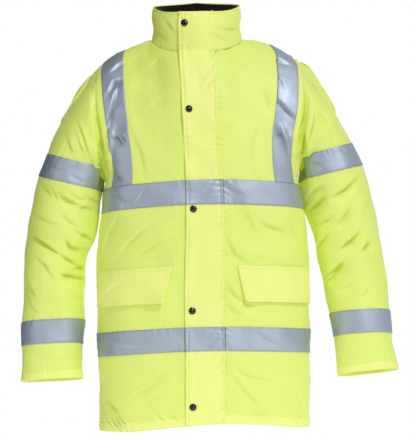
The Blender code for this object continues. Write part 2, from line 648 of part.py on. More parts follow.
def cloth(name, points, normals, finish, wall, lift=0.0, closed=False, cut=None):
    """A closed wall on a grid of points: its inner face is lift outside them, its outer face one
    wall further out, or for a panel, lift is minus the wall. cut says which cells are left out."""
    rows, columns = points.shape[:2]
    maker = bmesh.new()
    lift = np.asarray(lift, float)
    lift = lift[:, None, None] if lift.ndim == 1 else lift
    faces_of = []
    for level in (lift, lift + wall):
        placed = (points + normals * level) * MM
        faces_of.append([[maker.verts.new(point) for point in row] for row in placed])
    inner, outer = faces_of
    edges = {}

    def add(*corners):
        maker.faces.new(corners)

    span = columns if closed else columns - 1
    for r in range(rows - 1):
        for c in range(span):
            if cut is not None and cut(r, c):
                continue
            d = (c + 1) % columns
            ring = ((r, c), (r, d), (r + 1, d), (r + 1, c))
            for a, b in zip(ring, ring[1:] + ring[:1]):
                if (b, a) in edges:
                    del edges[b, a]
                else:
                    edges[a, b] = True
            if falls(points, ring):
                ring = ring[1:] + ring[:1]
            p, q, s, t = (outer[i][j] for i, j in ring)
            add(p, q, s)
            add(p, s, t)
            p, q, s, t = (inner[i][j] for i, j in ring)
            add(p, s, q)
            add(p, t, s)
    for (a, b), (e, f) in edges:
        if points[a, b] @ RIM_ORDER > points[e, f] @ RIM_ORDER:
            add(inner[a][b], inner[e][f], outer[e][f])
            add(inner[a][b], outer[e][f], outer[a][b])
        else:
            add(inner[a][b], inner[e][f], outer[a][b])
            add(inner[e][f], outer[e][f], outer[a][b])
    loose = [vert for vert in maker.verts if not vert.link_faces]
    bmesh.ops.delete(maker, geom=loose, context="VERTS")
    if maker.calc_volume(signed=True) < 0:
        bmesh.ops.reverse_faces(maker, faces=maker.faces)
    return add_object(name, maker, finish)


def tape_cloth(name, points, normals, lift=SEAM_GAP, closed=False):
    return cloth(name, points, normals, "reflective_tape", TAPE_WALL, lift, closed)


# Half a seam gap, as a turn at the side seam, a turn at the closure and an angle at the collar's ends.
HALF_GAP = SEAM_GAP / 2
SIDE_TRIM = 0.07
CLOSURE_TRIM = 0.04
TAPE_TRIM = 0.12  # from the storm flap's sewn edge to the tape beside it
COLLAR_TRIM = 0.12


def panel_turns(side):
    turns = np.array(FRONT_TURNS + UNDERARM_TURNS)
    turns[0] = CLOSURE_TRIM
    turns[-1] -= SIDE_TRIM
    return turns * side


def yoke_rises():
    return np.linspace(0, YOKE_RISE, YOKE_STEPS + 1)


def all_rises():
    return np.concatenate(([rise_of(row) for row in LOWER_ROWS], yoke_rises()))


def panel_rises():
    """The rows of a panel, which stops half a seam gap short of the top."""
    rises = all_rises()
    rises[-1] -= HALF_GAP
    return rises


def make_fronts():
    edge = len(FRONT_TURNS) - 1
    outside = lambda r, c: r >= UNDERARM_ROW and c >= edge
    for side, name in ((-1, "front_right"), (1, "front_left")):
        turns, rises = np.meshgrid(panel_turns(side), panel_rises())
        points, normals = body_surface(turns, rises)
        cloth(name, points, normals, "hi_vis_yellow", WALL, -WALL, cut=outside)


def make_back():
    half = 180 - np.array(FRONT_TURNS + UNDERARM_TURNS)
    half[-1] += SIDE_TRIM
    turns = np.concatenate((half[::-1], -half[1:]))
    turns, rises = np.meshgrid(turns, panel_rises())
    points, normals = body_surface(turns, rises)
    first, last = len(UNDERARM_TURNS), turns.shape[1] - 1 - len(UNDERARM_TURNS)
    outside = lambda r, c: r >= UNDERARM_ROW and not first <= c < last
    cloth("back", points, normals, "hi_vis_yellow", WALL, -WALL, cut=outside)


def make_sleeves():
    around = np.arange(SLEEVE_TURNS) * 360 / SLEEVE_TURNS
    for side in ("right", "left"):
        along = np.concatenate((np.array(HEAD_STEPS) - 1, np.arange(len(SLEEVE_SECTIONS[side]))))
        points, normals = sleeve_surface(*np.meshgrid(around, along), side)
        cloth(f"sleeve_{side}", points, normals, "hi_vis_yellow", WALL, -WALL, closed=True)
        names = list(SLEEVE_SECTIONS[side])
        for tape, top in (("upper_sleeve_tape", "tape_top"), ("low_sleeve_tape", "low_tape_top")):
            first = names.index(top) + len(HEAD_STEPS)
            rows = slice(first, first + 2)
            tape_cloth(f"{tape}_{side}", points[rows], normals[rows], closed=True)


def make_collar():
    front = neck_angle(np.array([turn for turn in FRONT_TURNS if turn < NECK_TURN]))
    half = np.concatenate((front, [90.0], 180 - front[::-1]))
    half[0] = COLLAR_TRIM
    angles = np.concatenate((half, 360 - half[-2::-1]))
    inside = -COLLAR_WALL - SEAM_GAP - LINING_WALL
    for name, rows, finish, wall, lift in (
        ("collar", COLLAR_ROWS, "hi_vis_yellow", COLLAR_WALL, -COLLAR_WALL),
        ("collar_lining", COLLAR_ROWS[1:-1], "black_fleece", LINING_WALL, inside),
    ):
        turns, ups = np.meshgrid(angles, rows)
        points, normals = collar_surface(turns, ups)
        if name == "collar":
            points[0, :, 2] += SEAM_GAP
        cloth(name, points, normals, finish, wall, lift)


def flap_grid():
    """The storm flap's grid: up the closure, then up the front of the collar."""
    turns = np.array((-FLAP_TURN, -FLAP_TURN / 2, 0.0, FLAP_TURN / 2, FLAP_TURN))
    points, normals = body_surface(*np.meshgrid(turns, all_rises()))
    angles, ups = np.meshgrid(np.sign(turns) * neck_angle(np.abs(turns)), COLLAR_ROWS[1:])
    collar_points, collar_normals = collar_surface(angles, ups)
    normals[-1] = unit(normals[-1] + collar_normals[0])
    return np.concatenate((points, collar_points)), np.concatenate((normals, collar_normals))


def make_storm_flap():
    points, normals = flap_grid()
    cloth("storm_flap", points, normals, "hi_vis_yellow", FLAP_WALL, 2 * SEAM_GAP)
    on_top = 3 * SEAM_GAP + FLAP_WALL
    for name, row in (("low_tape_flap", "low_tape_bottom"), ("chest_tape_flap", "chest_tape_bottom")):
        rows = slice(LOWER_ROWS.index(row), LOWER_ROWS.index(row) + 2)
        tape_cloth(name, points[rows], normals[rows], lift=on_top)
    for name, height in SNAP_HEIGHTS.items():
        make_snap(name, points, normals, height, on_top)


def make_snap(name, points, normals, height, on_top):
    """A domed press stud on the storm flap, near its free edge."""
    edge = points[:, 0]
    up = np.argsort(edge[:, 2])
    level = np.interp(height, edge[up, 2], np.arange(len(up)))
    low = int(level)
    share = level - low
    column = points[low] * (1 - share) + points[low + 1] * share
    normal = unit(normals[low, 1] * (1 - share) + normals[low + 1, 1] * share)
    x = column[0, 0] + SNAP_FROM_EDGE
    place = stacked(x, np.interp(x, column[:, 0], column[:, 1]), np.interp(x, column[:, 0], column[:, 2]))
    maker = bmesh.new()
    sections = ((0.0, 1.0), (0.35, 1.0), (0.72, 0.86), (1.0, 0.45))
    across = unit(np.cross((0, 0, 1), normal))
    upward = np.cross(normal, across)
    base = place + normal * (on_top + 0.4)
    rings = []
    for high, wide in sections:
        turn = np.arange(SNAP_SIDES) / SNAP_SIDES * 2 * np.pi
        round_it = across * np.cos(turn)[:, None] + upward * np.sin(turn)[:, None]
        ring = base + normal * high * SNAP_HEIGHT + round_it * wide * SNAP_RADIUS
        rings.append([maker.verts.new(point * MM) for point in ring])
    for lower, upper in zip(rings, rings[1:]):
        for i in range(SNAP_SIDES):
            j = (i + 1) % SNAP_SIDES
            maker.faces.new((lower[i], lower[j], upper[j], upper[i]))
    maker.faces.new(rings[0][::-1])
    maker.faces.new(rings[-1])
    if maker.calc_volume(signed=True) < 0:
        bmesh.ops.reverse_faces(maker, faces=maker.faces)
    add_object(name, maker, "black_enamel")


def make_body_tapes():
    half_turns = np.array(FRONT_TURNS[2:] + UNDERARM_TURNS)
    half_turns[0] += TAPE_TRIM
    half_turns[-1] -= SIDE_TRIM
    back_half = 180 - np.array(FRONT_TURNS + UNDERARM_TURNS)
    back_half[-1] += SIDE_TRIM
    around = {
        "front_right": -half_turns,
        "front_left": half_turns,
        "back": np.concatenate((back_half[::-1], -back_half[1:])),
    }
    for tape in ("chest_tape", "low_tape"):
        rises = [rise_of(f"{tape}_bottom"), rise_of(f"{tape}_top")]
        for place, turns in around.items():
            tape_cloth(f"{tape}_{place}", *body_surface(*np.meshgrid(turns, rises)))


def make_braces():
    columns = FRONT_TURNS.index(BRACE_TURNS[0]), FRONT_TURNS.index(BRACE_TURNS[1]) + 1
    turns = np.array(FRONT_TURNS[slice(*columns)])
    rises = np.concatenate(([rise_of("chest_tape_top") + SEAM_GAP], yoke_rises()))
    for side, name in ((-1, "brace_right"), (1, "brace_left")):
        front = body_surface(*np.meshgrid(turns * side, rises))
        back = body_surface(*np.meshgrid((180 - turns) * side, rises[-2::-1]))
        points, normals = (np.concatenate(pair) for pair in zip(front, back))
        tape_cloth(name, points, normals)


def make_pocket_flaps():
    (top, top_turn), (bottom, bottom_turn) = POCKET_FLAP["top"], POCKET_FLAP["bottom"]
    lift = BODY_SECTIONS["waist"][5]
    shares = np.linspace(0, 1, 4)
    fixed = [turn for turn in FRONT_TURNS if turn > bottom_turn + 2]
    for side, name in ((-1, "pocket_flap_right"), (1, "pocket_flap_left")):
        turns = np.array([[top_turn + (bottom_turn - top_turn) * share, *fixed] for share in shares])
        rises = (top + (bottom - top) * shares - lift - ARMPIT_Z)[:, None]
        points, normals = body_surface(turns * side, rises)
        stands_off = POCKET_STANDS_OFF[0] + (POCKET_STANDS_OFF[1] - POCKET_STANDS_OFF[0]) * shares
        cloth(name, points, normals, "hi_vis_yellow", FLAP_WALL, stands_off)


def main():
    for existing in list(bpy.data.objects):
        bpy.data.objects.remove(existing)
    make_fronts()
    make_back()
    make_sleeves()
    make_collar()
    make_storm_flap()
    make_body_tapes()
    make_braces()
    make_pocket_flaps()


main()
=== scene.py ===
"""Dresses the hi-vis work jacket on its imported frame: finer cloth on the same forms, with creases,
puckered seams and sewing, press studs, reflective tape and fleece, and the studio around it.

Sizes are in millimetres until a mesh is made. +Z is up, the front faces -Y and the wearer's left
is +X. A panel's outer face is its form; what is sewn on lies outside it. The rows of every table
that is read as a curve are sorted by their first column.
"""

import bmesh
import bpy
import numpy as np
from mathutils import Matrix, Vector


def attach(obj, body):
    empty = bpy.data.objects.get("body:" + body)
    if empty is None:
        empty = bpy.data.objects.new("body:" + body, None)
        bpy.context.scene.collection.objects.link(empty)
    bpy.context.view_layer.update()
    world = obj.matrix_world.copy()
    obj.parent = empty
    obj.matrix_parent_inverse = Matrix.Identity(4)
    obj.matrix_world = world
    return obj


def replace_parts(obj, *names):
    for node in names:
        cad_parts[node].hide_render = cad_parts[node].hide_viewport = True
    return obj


MM = 0.001

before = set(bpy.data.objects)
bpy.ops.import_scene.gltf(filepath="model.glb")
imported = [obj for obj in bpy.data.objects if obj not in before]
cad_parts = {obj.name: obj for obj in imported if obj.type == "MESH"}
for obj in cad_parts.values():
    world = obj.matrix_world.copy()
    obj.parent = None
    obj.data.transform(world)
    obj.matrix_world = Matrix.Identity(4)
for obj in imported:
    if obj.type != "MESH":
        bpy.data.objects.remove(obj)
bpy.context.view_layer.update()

# ---- cloth and trim ----
WALL = 2.6  # padded shell of a panel
FLAP_WALL = 2.2
COLLAR_WALL = 2.4
LINING_WALL = 2.0
TAPE_WALL = 1.0
SEAM_GAP = 0.3  # between two pieces that are sewn together
SLEEVE_GAP = 0.45

# ---- body ----
ARMPIT_Z = -304.0  # height of the underarm point
HEM_Z = -829.0  # hem at the side seams
YOKE_RISE = 285.0  # length of front or back from the underarm row to the top
CORNER_TURN = 66.0  # the armhole leaves the underarm row here
NECK_TURN = 25.7  # the column that ends where collar and shoulder seam meet
FLAP_TURN = 10.3  # edges of the storm flap, either side of the closure
BRACE_TURNS = (39.0, 54.0)  # edges of the shoulder brace
NECK_HALF_WIDTH = 97.0
NECK_MIDDLE_Y = 5.0
SWING_IN_FRONT = 0.75  # share of the closure's swing that only the front takes

# Rings of the body below the arms. Columns: height at the side seam, half width, depth of the
# front, depth of the back, squareness, rise of the ring at the middle of the front and of the back.
BODY_SECTIONS = {
    "hem": (HEM_Z, 224.5, 130, 120, 3, 14, 6),
    "above_hem": (-790, 225, 131, 121, 3, 13, 6),
    "hip": (-736, 225.5, 132, 122, 3, 14, 7),
    "low_tape_bottom": (-675, 226, 132, 124, 3, 14, 9),
    "low_tape_top": (-625, 226, 131, 124, 3, 14, 9),
    "below_pocket": (-575, 226, 130, 122, 3, 11, 6),
    "pocket": (-530, 226.5, 129, 120, 3.05, 12, 6),
    "waist": (-480, 227, 128, 117, 3.1, 15, 7),
    "ribs": (-422, 221.5, 128, 118, 3.2, 17, 8),
    "chest_tape_bottom": (-371, 215.5, 129, 121, 3.3, 17, 8),
    "chest_tape_top": (-320, 208.5, 129, 124, 3.4, 17, 8),
    "underarm": (ARMPIT_Z, 205.5, 128, 125, 3.4, 17, 8),
}
# Front and back edge of the armhole, from above the underarm row to the shoulder: x, y, z.
ARMHOLE_FRONT = ((200, -74, -262), (206, -86, -208), (212, -82, -146), (214.5, -50, -90))
ARMHOLE_BACK = ((202, 80, -260), (207, 93, -202), (212, 84, -140), (213.5, 52, -89))
# Columns of a panel from the middle to the neck point, and the angle round the neck they reach.
NECK_COLUMNS = ((0, 0), (FLAP_TURN / 2, 11.2), (FLAP_TURN, 22.4), (18, 54), (NECK_TURN, 90))
# Shoulder seam from the neck to the tip: the column of the panel, then x, y, z.
SHOULDER_SEAM = (
    (NECK_TURN, NECK_HALF_WIDTH, NECK_MIDDLE_Y, 0), (32.3, 125, 7, -6.5),
    (BRACE_TURNS[0], 154, 8, -17.5), (46.5, 179, 8, -31), (BRACE_TURNS[1], 201, 8, -45.5),
    (CORNER_TURN, 214, 8, -55),
)
# The way in which each column of a panel reaches the neck or the shoulder seam: column, x, y, z.
FRONT_REACHES_TOP = (
    (0, 0, 0.62, 0.78), (12, -0.04, 0.72, 0.69), (NECK_TURN, -0.16, 0.92, 0.36),
    (40, -0.04, 1, 0.16), (CORNER_TURN, 0, 1, 0.10),
)
BACK_REACHES_TOP = (
    (0, 0, -0.40, 0.92), (12, -0.04, -0.58, 0.80), (NECK_TURN, -0.16, -0.92, 0.36),
    (40, -0.04, -1, 0.16), (CORNER_TURN, 0, -1, 0.10),
)
# The closure isn't straight: it swings to the wearer's left at the chest. Columns: z, x.
CLOSURE_SWING = (
    (HEM_Z, 0), (-640, 4), (-540, 4.5), (-456, 8), (-366, 9.6), (-300, 8.5), (-240, 5.4),
    (-160, 3.8), (-75, 1.5), (-20, -2.5), (60, -1.5),
)
# The shoulder braces bow outward between their ends. Columns: share of the yoke's height, then how
# far on the wearer's right and left.
BRACE_BOW = (
    (0, 0, 0), (0.15, 3, 5), (0.28, 6, 8), (0.43, 7, 15), (0.7, 6, 16), (0.84, 3, 11), (0.93, 1, 4),
    (1, 0, 0),
)
BOW_REACH = (  # column of the front, share of the bow that it takes
    (16, 0), (30, 0.6), (BRACE_TURNS[0], 1), (BRACE_TURNS[1], 0.88), (CORNER_TURN, 0.6), (90, 0),
)
# How much higher the wearer's left shoulder sits. Columns: column of the panel, height.
LEFT_SHOULDER = (
    (NECK_TURN, 0), (32.3, 3.6), (BRACE_TURNS[0], 3.9), (46.5, 3.3), (BRACE_TURNS[1], 4.6),
    (CORNER_TURN, 7.1),
)
# The hem of the front hangs unevenly. Columns: x, how much lower it is.
HEM_DROP = ((-225, 3), (-150, 8), (-65, 4), (10, 0), (125, 0), (195, 4), (225, 2))
HEM_DROP_STARTS = -380.0  # rise below which it drops
HEM_DROP_SPAN = 145.0  # length over which it does

# ---- neck and collar ----
NECK_FRONT_Z = -33.0
NECK_BACK_Z = 15.0
COLLAR_SECTIONS = (  # share of the collar's height, half width, depth to the front and to the back
    (0, NECK_HALF_WIDTH, 85, 77), (0.35, 93, 91, 80), (0.7, 96, 94, 79), (1, 93, 92, 75),
)
COLLAR_EDGE = (  # angle round the neck from the front, height of the top edge
    (0, 53), (40, 55), (90, 72), (180, 87),
)

# ---- sleeves ----
# Rings of each sleeve: the middle of the ring, its half width across, its half depth from front to
# back, its tilt (outer side up) and its lean (front side up), in degrees, and how far it dips and
# is tucked in under the arm. The first two are the edges of the upper tape and the last the cuff.
SLEEVE_SECTIONS = {
    "right": (
        (267, 4, -255, 61.5, 83, 16, 0, 26, 2), (278, 4, -303, 68.5, 84, 14, 0, 3, 1),
        (285, 3, -338, 71.5, 83, 10, 0, 0, 0), (293, 2, -378, 73, 81, 6, 0, 0, 0),
        (302, 1, -424, 72.5, 79, 3, 0, 0, 0), (314, -1, -470, 66.5, 75, -2, 2, 0, 0),
        (315.5, -4, -514, 67, 71, -1, 5, 0, 0), (317.5, -9, -556, 66, 65, -1, 7, 0, 0),
        (319.5, -13, -598, 65.8, 59, -2, 8, 0, 0), (322.5, -20, -648, 64.2, 53, -2, 8, 0, 0),
        (323, -27, -694, 64, 46, -2, 7, 0, 0), (324.5, -31, -722, 65, 43, -2, 7, 0, 0),
    ),
    "left": (
        (273.1, 4, -242.5, 53.1, 83, 14, 0, 32, 6), (285.5, 4, -290.5, 64.5, 84, 12.5, 0, 8, 9),
        (291.5, 3, -331, 70, 83, 10, 0, 0, 8), (300, 2, -373, 71.5, 81, 6, 0, 0, 4),
        (310.5, 1, -418, 71, 79, 2, 0, 0, 0), (318, -1, -466, 70, 75, -2, 2, 0, 0),
        (325, -5, -510, 68.5, 71, -1, 5, 0, 0), (330.5, -10, -552, 66.5, 65, 1, 7, 0, 0),
        (336.5, -16, -591, 63.5, 59, 2, 8, 0, 0), (341, -24, -640, 62, 53, 2, 9, 0, 0),
        (346.5, -31, -688, 62.5, 46, 4, 9, 0, 0), (350.5, -36, -719, 64.5, 43, 5, 9, 0, 0),
    ),
}
SLEEVE_TAPES = {"upper_sleeve_tape": 0, "low_sleeve_tape": 8}  # first of the two rings of each
SLEEVE_TAPE_EDGES = (0, 1, 8, 9)
LAST_RING = 11
SLEEVE_SQUARENESS = 2.3
DIP_POWER = 16  # the higher, the less of the ring dips
TUCK_POWER = 6
TUCK_ANGLE = 190.0  # middle of what is tucked in, a little behind the underarm seam
# How each sleeve head leaves the armhole: angle round it from the shoulder to the front and on,
# then how far it goes outward, forward and down.
SLEEVE_HEAD = {
    "right": (
        (0, 160, 0, 40), (45, 110, 22, 50), (90, 55, 42, 45), (130, 28, 40, 15), (150, 24, 14, 0),
        (180, 20, 0, 0), (210, 24, 0, 0), (230, 34, -10, 15), (270, 60, -30, 45),
        (315, 110, -14, 50), (360, 160, 0, 40),
    ),
    "left": (
        (0, 166, 0, -10), (45, 179, 22, 42), (90, 55, 42, 45), (130, 28, 40, 15), (150, 24, 14, 0),
        (180, 20, 0, 0), (210, 24, 0, 0), (230, 34, -10, 15), (270, 60, -30, 45),
        (315, 179, -14, 42), (360, 166, 0, -10),
    ),
}
SHORTEST_HEAD = 26.0
EDGE_SPAN = 150.0  # angle that each armhole edge takes of the turn round the sleeve

# ---- largest folds: a soft trough. Columns: x and z of one end, of the other, depth, reach ----
FOLD_AT_ENDS = 0.35  # share of its depth that a fold still has at its ends
BODY_FRONT_FOLDS = (
    (-135, -405, -205, -470, 5, 22), (-85, -415, -200, -488, 4, 20), (65, -420, 180, -460, 5, 22),
    (135, -390, 215, -425, 4, 20), (-182, -150, -160, -205, 6, 18), (163, -165, 196, -215, 6, 18),
    (-130, -40, -190, -105, 4, 18), (-215, -745, -180, -790, 4, 22),
)
BODY_BACK_FOLDS = (
    (-95, -190, -180, -285, 5, 24), (100, -180, 185, -270, 5, 24), (-60, -430, -190, -490, 5, 22),
    (75, -440, 195, -480, 5, 22),
)
SLEEVE_FRONT_FOLDS = {
    "right": (
        (-250, -170, -215, -235, 6, 20), (-318, -326, -240, -365, 6, 18),
        (-368, -410, -252, -470, 9, 20), (-290, -430, -240, -450, 5, 16),
        (-305, -495, -250, -506, 6, 16),
    ),
    "left": (
        (262, -130, 262, -195, 5, 18), (258, -318, 232, -385, 9, 18), (330, -322, 255, -375, 6, 20),
        (325, -365, 290, -425, 7, 18), (342, -415, 300, -465, 7, 18), (375, -430, 342, -462, 5, 16),
        (308, -478, 270, -515, 6, 16),
    ),
}
SLEEVE_BACK_FOLDS = {
    "right": (
        (-365, -440, -270, -480, 8, 22), (-330, -345, -250, -385, 6, 22),
        (-370, -500, -280, -530, 6, 20),
    ),
    "left": (
        (375, -436, 280, -478, 8, 22), (340, -340, 255, -380, 6, 22), (380, -496, 295, -528, 6, 20),
    ),
}

# ---- studs and pocket flaps ----
SNAP_HEIGHTS = {"snap_1": 31, "snap_2": -153, "snap_3": -364, "snap_4": -576, "snap_5": -777.5}
SNAP_FROM_EDGE = 15.5  # of the flap

POCKET_FLAP = {"top": (-481.0, 16.6), "bottom": (-554.5, 21.2)}  # height at the front, inner end
POCKET_STANDS_OFF = (1.0, 3.4)  # top edge, bottom edge


# ---- tables and vectors ----

def hermite(start, leave, end, arrive, s):
    s = np.asarray(s)[..., None]
    return (
        start * (1 + 2 * s) * (1 - s) ** 2
        + leave * s * (1 - s) ** 2
        + end * s * s * (3 - 2 * s)
        - arrive * s * s * (1 - s)
    )


def curve(table, at):
    """Reads a table's columns on a smooth curve through its rows, by the first column."""
    rows = np.array(table, float)
    keys = rows[:, 0]
    slopes = np.gradient(rows, keys, axis=0)
    at = np.clip(np.asarray(at, float), keys[0], keys[-1])
    i = np.clip(np.searchsorted(keys, at) - 1, 0, len(keys) - 2)
    span = keys[i + 1] - keys[i]
    leave, arrive = (slopes[row] * span[..., None] for row in (i, i + 1))
    return hermite(rows[i], leave, rows[i + 1], arrive, (at - keys[i]) / span)


def unit(vectors):
    return vectors / np.maximum(np.linalg.norm(vectors, axis=-1, keepdims=True), 1e-9)


def arrays(*values):
    """The values as arrays of one shape."""
    return np.broadcast_arrays(*(np.asarray(value, float) for value in values))


def stacked(x, y, z):
    return np.stack(np.broadcast_arrays(x, y, z), axis=-1).astype(float)


def cos_sin(angle):
    return np.cos(np.radians(angle)), np.sin(np.radians(angle))


def smooth_step(value):
    value = np.clip(value, 0, 1)
    return value * value * (3 - 2 * value)


def half_turned(angle):
    """The same angle between -180 and 180."""
    return (np.asarray(angle, float) + 180) % 360 - 180


def from_middle(turn):
    """How far a column is from the middle of the front or of the back, whichever is nearer."""
    return np.minimum(np.abs(turn), 180 - np.abs(turn))


def sign_of(side):
    return 1.0 if side == "left" else -1.0


def rounded_box(c, s, squareness):
    """How far a ring stands out from its ellipse, by the cosine and sine of its angle."""
    return (np.abs(c) ** squareness + np.abs(s) ** squareness) ** (-1 / squareness)


def lengths_along(points, axis=0):
    steps = np.linalg.norm(np.diff(points, axis=axis), axis=-1)
    start = np.zeros_like(np.take(steps, [0], axis=axis))
    return np.cumsum(np.concatenate((start, steps), axis=axis), axis=axis)


def folded(points, normals, front_folds, back_folds):
    """Presses each fold of a table into the side of the cloth that it lies on."""
    depth = np.zeros(points.shape[:-1])
    for folds, facing in ((front_folds, -1), (back_folds, 1)):
        faces_it = smooth_step(normals[..., 1] * facing * 2.5 + 0.2)
        for x0, z0, x1, z1, deep, reach in folds:
            along = np.array((x1 - x0, z1 - z0), float)
            offset = points[..., (0, 2)] - (x0, z0)
            s = np.clip(offset @ along / (along @ along), 0, 1)
            away = np.linalg.norm(offset - s[..., None] * along, axis=-1)
            along_it = FOLD_AT_ENDS + (1 - FOLD_AT_ENDS) * np.sin(np.pi * s)
            depth += deep * np.exp(-((away / reach) ** 2)) * along_it * faces_it
    return points - normals * depth[..., None]


# ---- body form ----

def neck_angle(turn):
    """The angle round the neck that a column of the front reaches."""
    return curve(NECK_COLUMNS, turn)[..., 1]


def neck_ring(angle):
    """The neck seam, by the angle from the middle of the front, 0 to 180."""
    c, s = cos_sin(angle)
    _, half_width, front, back = COLLAR_SECTIONS[0]
    depth = np.where(c > 0, front, back)
    fall = np.where(c > 0, NECK_FRONT_Z, -NECK_BACK_Z)
    return stacked(half_width * s, NECK_MIDDLE_Y - depth * c, fall * c)


def body_ring(turn, side_z):
    section = np.moveaxis(curve([*BODY_SECTIONS.values()], side_z), -1, 0)
    _, half_width, front, back, squareness, front_lift, back_lift = section
    c, s = cos_sin(turn)
    depth = np.where(c > 0, front, back)
    lift = np.where(c > 0, front_lift, back_lift)
    out = rounded_box(c, s, squareness)
    return stacked(half_width * s * out, -depth * c * out, side_z + lift * c * c)


def top_line(turn):
    """Neck seam and shoulder seam, by the column of the panel below."""
    on_neck = neck_angle(from_middle(turn))
    neck = neck_ring(np.where(turn < 90, on_neck, 180 - on_neck))
    shoulder = curve(SHOULDER_SEAM, from_middle(turn))[..., 1:]
    return np.where((from_middle(turn) < NECK_TURN)[..., None], neck, shoulder)


def armhole_edge(share, front):
    """Front or back edge of the armhole, from the underarm row (0) to the shoulder (1)."""
    corner = body_ring(np.array(CORNER_TURN if front else 180 - CORNER_TURN), np.array(ARMPIT_Z))
    middle = ARMHOLE_FRONT if front else ARMHOLE_BACK
    points = np.array([corner, *middle, SHOULDER_SEAM[-1][1:]], float)
    lengths = lengths_along(points)
    return curve(np.column_stack((lengths / lengths[-1], points)), share)[..., 1:]


def yoke_column(turn, share):
    """A column of the front or back above the underarm row, bent over to the shoulder."""
    bottom = body_ring(turn, np.full_like(turn, ARMPIT_Z))
    below = body_ring(turn, np.full_like(turn, ARMPIT_Z - 4.0))
    leave = unit(bottom - below) * YOKE_RISE
    tables = (FRONT_REACHES_TOP, BACK_REACHES_TOP)
    ways = (curve(table, from_middle(turn))[..., 1:] for table in tables)
    arrive = unit(np.where((turn < 90)[..., None], *ways)) * YOKE_RISE * 0.9
    return hermite(bottom, leave, top_line(turn), arrive, share)


def body_side(turn, rise):
    """The body form on the side of +X, without the swing of the closure."""
    turn, rise = arrays(turn, rise)
    lower = body_ring(turn, ARMPIT_Z + np.minimum(rise, 0))
    share = np.clip(rise / YOKE_RISE, 0, 1)
    corner = np.where(turn < 90, np.minimum(turn, CORNER_TURN), np.maximum(turn, 180 - CORNER_TURN))
    upper = yoke_column(corner, share)
    weight = np.clip((from_middle(corner) - NECK_TURN) / (CORNER_TURN - NECK_TURN), 0, 1) ** 2
    for front, here in ((True, corner < 90), (False, corner >= 90)):
        at_corner = np.full_like(turn, CORNER_TURN if front else 180 - CORNER_TURN)
        edge = armhole_edge(share, front) - yoke_column(at_corner, share)
        upper = upper + edge * (weight * here)[..., None]
    return np.where((rise > 0)[..., None], upper, lower)


def body_form(turn, rise):
    """A point of the body. turn runs from the middle of the front, 0, to +-180 at the back; rise
    from the underarm row, down to the hem below 0 and up to neck and shoulder at YOKE_RISE."""
    turn = half_turned(turn)
    side = np.where(turn < 0, -1.0, 1.0)
    front = np.abs(turn) < 90
    point = body_side(np.abs(turn), rise)
    swing = curve(CLOSURE_SWING, point[..., 2])[..., 1]
    top = smooth_step(np.asarray(rise, float) / YOKE_RISE)
    round_neck, _ = cos_sin(neck_angle(np.abs(turn)))
    facing, _ = cos_sin(turn)
    in_front = np.clip(facing, 0, 1) * (1 - top) + round_neck * top * front
    all_round = (1 - SWING_IN_FRONT) * (1 - top)
    x = point[..., 0] * side + swing * (in_front * SWING_IN_FRONT + all_round)
    bow = curve(BRACE_BOW, np.asarray(rise, float) / YOKE_RISE)
    bow = np.where(side > 0, bow[..., 2], -bow[..., 1])
    bow = bow * curve(BOW_REACH, np.abs(turn))[..., 1] * front
    raised = curve(LEFT_SHOULDER, from_middle(turn))[..., 1] * top**2 * (side > 0)
    drop = curve(HEM_DROP, x)[..., 1] * smooth_step(facing * 2.5)
    drop = drop * smooth_step((HEM_DROP_STARTS - rise) / HEM_DROP_SPAN)
    return stacked(x + bow, point[..., 1], point[..., 2] + raised - drop)


def body_normals(turn, rise):
    """Normals from small steps over the form, none of them into the armhole."""
    step_turn, step_rise = 0.25, 0.6
    under_arm = np.abs(90 - np.abs(turn)) < 90 - CORNER_TURN
    highest = np.where(under_arm, 0.0, YOKE_RISE)
    across = body_form(turn + step_turn, rise) - body_form(turn - step_turn, rise)
    up = body_form(turn, np.minimum(rise + step_rise, highest)) - body_form(turn, rise - step_rise)
    return unit(np.cross(across, up))


def panel_normals(turn, rise):
    """Normals of the body that agree where front and back meet in the shoulder seam."""
    on_shoulder = from_middle(turn) > NECK_TURN - 0.1
    near_seam = smooth_step((rise / YOKE_RISE - 0.97) / 0.03) * on_shoulder
    across = body_normals(np.sign(turn) * (180 - np.abs(turn)), rise)
    return unit(body_normals(turn, rise) + across * near_seam[..., None])


def body_surface(turn, rise):
    """Points and normals of the body, with its folds."""
    turn, rise = arrays(turn, rise)
    normals = panel_normals(turn, rise)
    return folded(body_form(turn, rise), normals, BODY_FRONT_FOLDS, BODY_BACK_FOLDS), normals


def rise_of(row):
    return BODY_SECTIONS[row][0] - ARMPIT_Z


def tape_edges(*tapes):
    return [rise_of(f"{tape}_{edge}") for tape in tapes for edge in ("bottom", "top")]


# ---- sleeve form ----

def armhole_place(angle):
    """Where the sleeve's angle meets the body, as turn and rise."""
    angle = np.asarray(angle, float) % 360
    on_front = angle <= EDGE_SPAN
    on_back = angle >= 360 - EDGE_SPAN
    under = CORNER_TURN + (angle - EDGE_SPAN) / (360 - 2 * EDGE_SPAN) * (180 - 2 * CORNER_TURN)
    turn = np.where(on_front, CORNER_TURN, np.where(on_back, 180 - CORNER_TURN, under))
    up_back = np.where(on_back, 1 - (360 - angle) / EDGE_SPAN, 0)
    rise = np.where(on_front, 1 - angle / EDGE_SPAN, up_back)
    return turn, rise * YOKE_RISE


def armhole(angle, side):
    """Points of the armhole, the body's normals there, and the direction out of the panel."""
    sign = sign_of(side)
    angles, places = np.unique(angle, return_inverse=True)
    turn, rise = armhole_place(angles)
    points, normals = body_surface(turn * sign, rise)
    near = []
    for step in (-2, 2):
        turn, rise = armhole_place(angles + step)
        near.append(body_surface(turn * sign, rise)[0])
    outward = unit(np.cross(normals, near[1] - near[0])) * sign
    places = places.reshape(np.shape(angle))
    return points[places], normals[places], outward[places]


